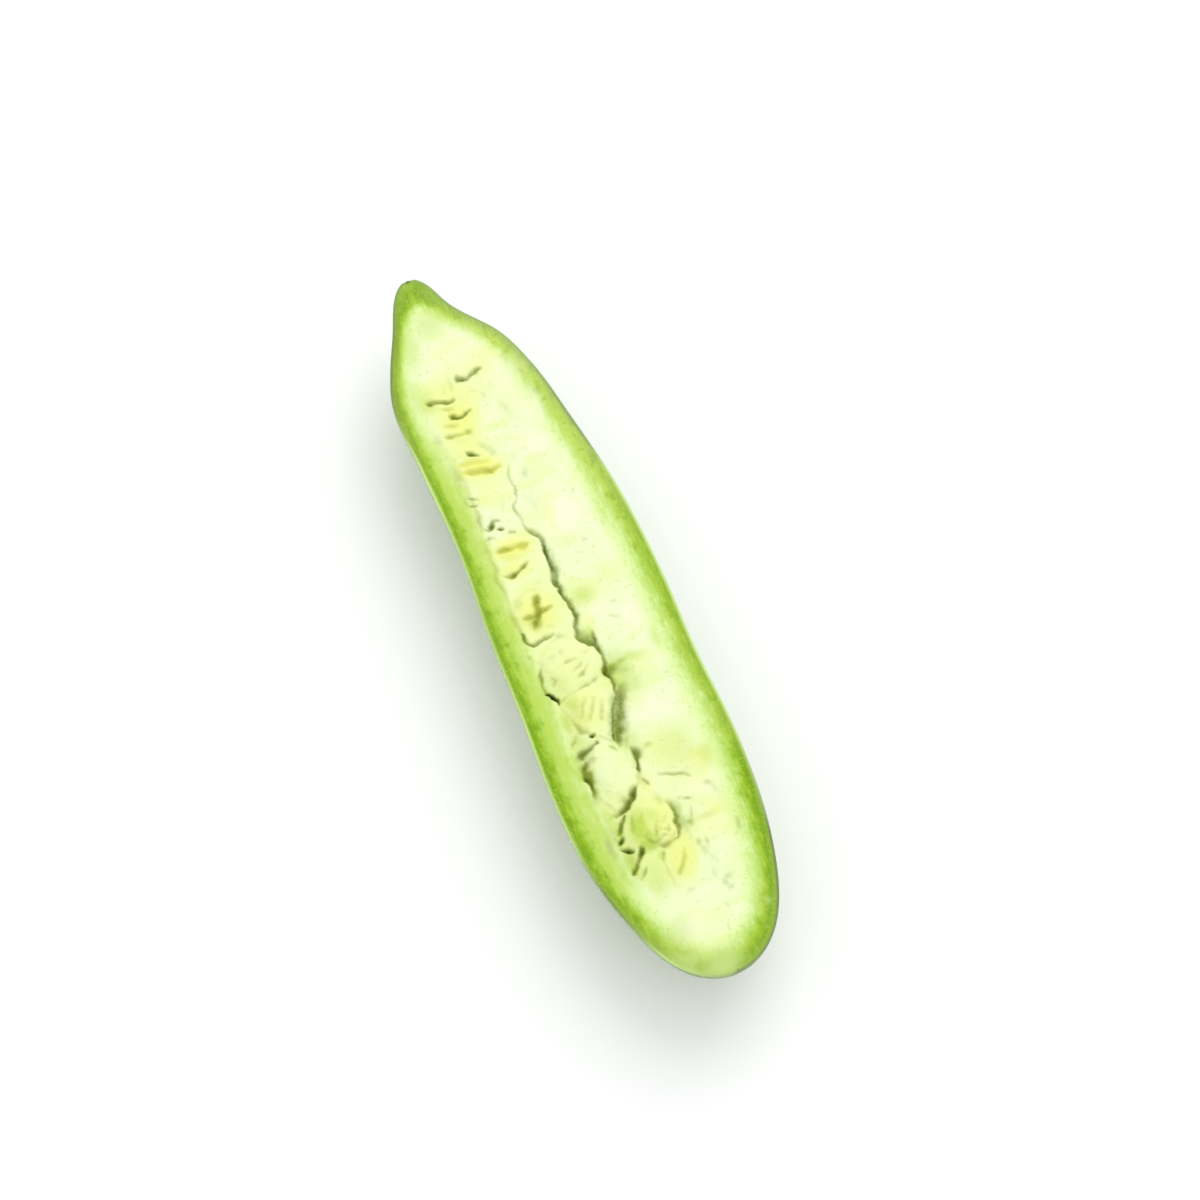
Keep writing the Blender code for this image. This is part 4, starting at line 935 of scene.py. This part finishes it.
def nudged(tree, place, size, amount):
    """Places pushed this way and that, by up to about the amount in millimetres."""
    push = tree.nodes.new("ShaderNodeTexNoise")
    push.inputs["Scale"].default_value = 1 / (size * MM)
    push.inputs["Detail"].default_value = 1
    tree.links.new(place, push.inputs["Vector"])
    scaled = tree.nodes.new("ShaderNodeVectorMath")
    scaled.operation = "MULTIPLY_ADD"
    tree.links.new(push.outputs["Color"], scaled.inputs[0])
    scaled.inputs[1].default_value = (amount * MM,) * 3
    tree.links.new(place, scaled.inputs[2])
    return scaled.outputs["Vector"]


# Sage green in patches and in long waxy bands, and small crowded flecks on it with dark green between
# them: dense in some places and nearly gone in others
colour = tinted(tree, spread(tree, patches, 0.35, 0.65), seen(140, 172, 106), seen(164, 190, 130))
colour = clouded_over(tree, colour, (
    (place, 26, 0.45, 0.70, 0.60, seen(140, 174, 90)),
    (along_fruit, 12, 0.50, 0.72, 0.45, seen(128, 158, 96)),
    (drawn_out, 5, 0.50, 0.66, 0.50, seen(180, 204, 146)),
))
squiggles = clouds(tree, nudged(tree, object_place(tree, (0.8, 1, 1)), 1.1, 0.9), 0.9, 1.5, 0.5)
crowding = spread(tree, clouds(tree, object_place(tree, (0.6, 1, 1)), 10, 2), 0.34, 0.60, 0.35, 1.0)
between = sums(tree, "MULTIPLY", crowding, spread(tree, squiggles, 0.49, 0.36, 0, 0.8))
colour = tinted(tree, between, colour, seen(104, 136, 78))
fleck = sums(tree, "MULTIPLY", crowding, spread(tree, squiggles, 0.52, 0.62, 0, 0.8))
colour = tinted(tree, fleck, colour, seen(212, 236, 184))

# Small round pale dots between them, a little longer than wide, larger and smaller by turns
dots = tree.nodes.new("ShaderNodeTexVoronoi")
dots.inputs["Scale"].default_value = 1 / (1.6 * MM)
tree.links.new(nudged(tree, object_place(tree, (0.7, 1, 1)), 1.5, 0.5), dots.inputs["Vector"])
dot_edge = spread(tree, clouds(tree, place, 3, 1), 0.35, 0.65, 0.16, 0.40)
dot = spread(tree, sums(tree, "SUBTRACT", dots.outputs["Distance"], dot_edge), 0.05, -0.07, 0, 0.85)
colour = tinted(tree, dot, colour, seen(218, 241, 190))

# Broken pale dashes along the fruit
dash_run = clouds(tree, object_place(tree, (0.16, 1, 1)), 1.5, 2)
dash = sums(tree, "MULTIPLY", spread(tree, dash_run, 0.61, 0.67, 0, 0.9),
            spread(tree, clouds(tree, place, 16, 1), 0.40, 0.56))
colour = tinted(tree, dash, colour, seen(222, 243, 190))

# Towards both ends the skin is greener and smoother, with lengthwise streaks at the stalk
ends = tree.nodes.new("ShaderNodeSeparateXYZ")
tree.links.new(place, ends.inputs[0])
stalk_end = spread(tree, ends.outputs["X"], -0.088, -0.112)
blossom_end = spread(tree, ends.outputs["X"], 0.092, 0.119)
green_end = tinted(tree, spread(tree, patches, 0.35, 0.65), seen(146, 174, 78), seen(172, 194, 112))
colour = tinted(tree, sums(tree, "MULTIPLY", stalk_end, 0.85), colour, green_end)
colour = tinted(tree, sums(tree, "MULTIPLY", blossom_end, 0.6), colour, seen(132, 156, 82))

round_back = tree.nodes.new("ShaderNodeCombineXYZ")
tree.links.new(sums(tree, "MULTIPLY", ends.outputs["X"], 12.0), round_back.inputs["X"])
tree.links.new(sums(tree, "MULTIPLY", kept(tree, "round_back"), 14.0), round_back.inputs["Y"])
streaks = tree.nodes.new("ShaderNodeTexNoise")
streaks.inputs["Scale"].default_value = 1.6
streaks.inputs["Detail"].default_value = 3
tree.links.new(round_back.outputs[0], streaks.inputs["Vector"])
streak = sums(tree, "MULTIPLY", spread(tree, ends.outputs["X"], -0.050, -0.105, 0.10, 0.6),
              spread(tree, streaks.outputs["Fac"], 0.5, 0.62))
colour = tinted(tree, streak, colour, seen(206, 222, 176))

# The small corky scar where the stalk broke off, in a pale ring, and the fainter one of the blossom
colour = tinted(tree, spread(tree, kept(tree, "from_tip"), 3.4, 2.2, 0, 0.6), colour, seen(186, 206, 132))
stalk_scar = sums(tree, "MULTIPLY", spread(tree, kept(tree, "from_tip"), 2.1, 1.6, 0, 0.95),
                  spread(tree, squiggles, 0.34, 0.5, 0.7, 1.0))
colour = tinted(tree, stalk_scar, colour, seen(120, 108, 66))
blossom_scar = sums(tree, "MULTIPLY", spread(tree, kept(tree, "from_blossom"), 1.9, 1.2, 0, 0.8),
                    spread(tree, squiggles, 0.36, 0.52, 0.6, 1.0))
colour = tinted(tree, blossom_scar, colour, seen(138, 132, 92))

# Waxy bloom, thin and patchy, and at the cut edge a fine line of painted highlight and painted shade
colour = clouded_over(tree, colour, ((place, 18, 0.40, 0.72, 0.32, seen(190, 204, 170)),))
colour = with_group(tree, edge_highlight_and_shade, {
    "Surface": colour,
    "Shade line": seen(120, 140, 84),
    "Highlight line": seen(200, 230, 138),
    "Highlight share": kept(tree, "edge_highlight_share"),
    "Amount": kept(tree, "cut_edge"),
})
tree.links.new(colour, shader.inputs["Base Color"])

height = sums(tree, "ADD", squiggles, sums(tree, "MULTIPLY", dot, 0.4))
bumpy(tree, shader, height, 0.4, 0.2)
tree.links.new(spread(tree, patches, 0.3, 0.7, 0.42, 0.56), shader.inputs["Roughness"])
shader.inputs["Subsurface Weight"].default_value = 0.08
shader.inputs["Subsurface Radius"].default_value = (1.0, 1.0, 0.4)
shader.inputs["Subsurface Scale"].default_value = 1.2 * MM

speckled_skin.data.materials.append(skin_material)
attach(speckled_skin, "root")
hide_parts("snake_gourd_half")

# The floor
# A plain, nearly white studio floor that the half lies on.
bpy.ops.object.select_all(action="DESELECT")
bpy.ops.mesh.primitive_plane_add(size=8)
floor = bpy.context.object
floor.name = "floor"
floor_material, tree, shader = new_material("pale_floor")
shader.inputs["Base Color"].default_value = (0.93, 0.93, 0.92, 1)
shader.inputs["Roughness"].default_value = 0.7
floor.data.materials.append(floor_material)

# Light and camera
# Soft, bright studio light: a pale room all round and one large soft box above the far right. The
# camera looks down on the half from past its blossom end, with a long lens.
world = bpy.data.worlds.new("pale_room")
bpy.context.scene.world = world
world.use_nodes = True
world.node_tree.nodes["Background"].inputs["Color"].default_value = (0.98, 0.99, 1.0, 1)
world.node_tree.nodes["Background"].inputs["Strength"].default_value = 0.95

light = bpy.data.lights.new("soft_box", "AREA")
light.shape = "RECTANGLE"
light.size = 1.2
light.size_y = 1.2
light.energy = 8.5
soft_box = bpy.data.objects.new("soft_box", light)
soft_box.location = (-0.75, 0.65, 1.15)
soft_box.rotation_euler = Vector((0.75, -0.65, -1.15)).to_track_quat("-Z", "Y").to_euler()
bpy.context.scene.collection.objects.link(soft_box)

CAMERA_AZIMUTH = 67.9        # degrees round from the -Y side
CAMERA_ELEVATION = 68.0      # degrees above the horizon
lens = bpy.data.cameras.new("camera")
lens.lens = 120
lens.sensor_width = 36
lens.clip_start = 0.05
lens.clip_end = 50
camera = bpy.data.objects.new("camera", lens)
camera.location = (0.41222, -0.16011, 1.13047)
camera.rotation_euler = (math.radians(90 - CAMERA_ELEVATION), 0, math.radians(CAMERA_AZIMUTH))
bpy.context.scene.collection.objects.link(camera)
bpy.context.scene.camera = camera
bpy.context.scene.view_settings.view_transform = "Standard"

# The end
bpy.context.view_layer.update()
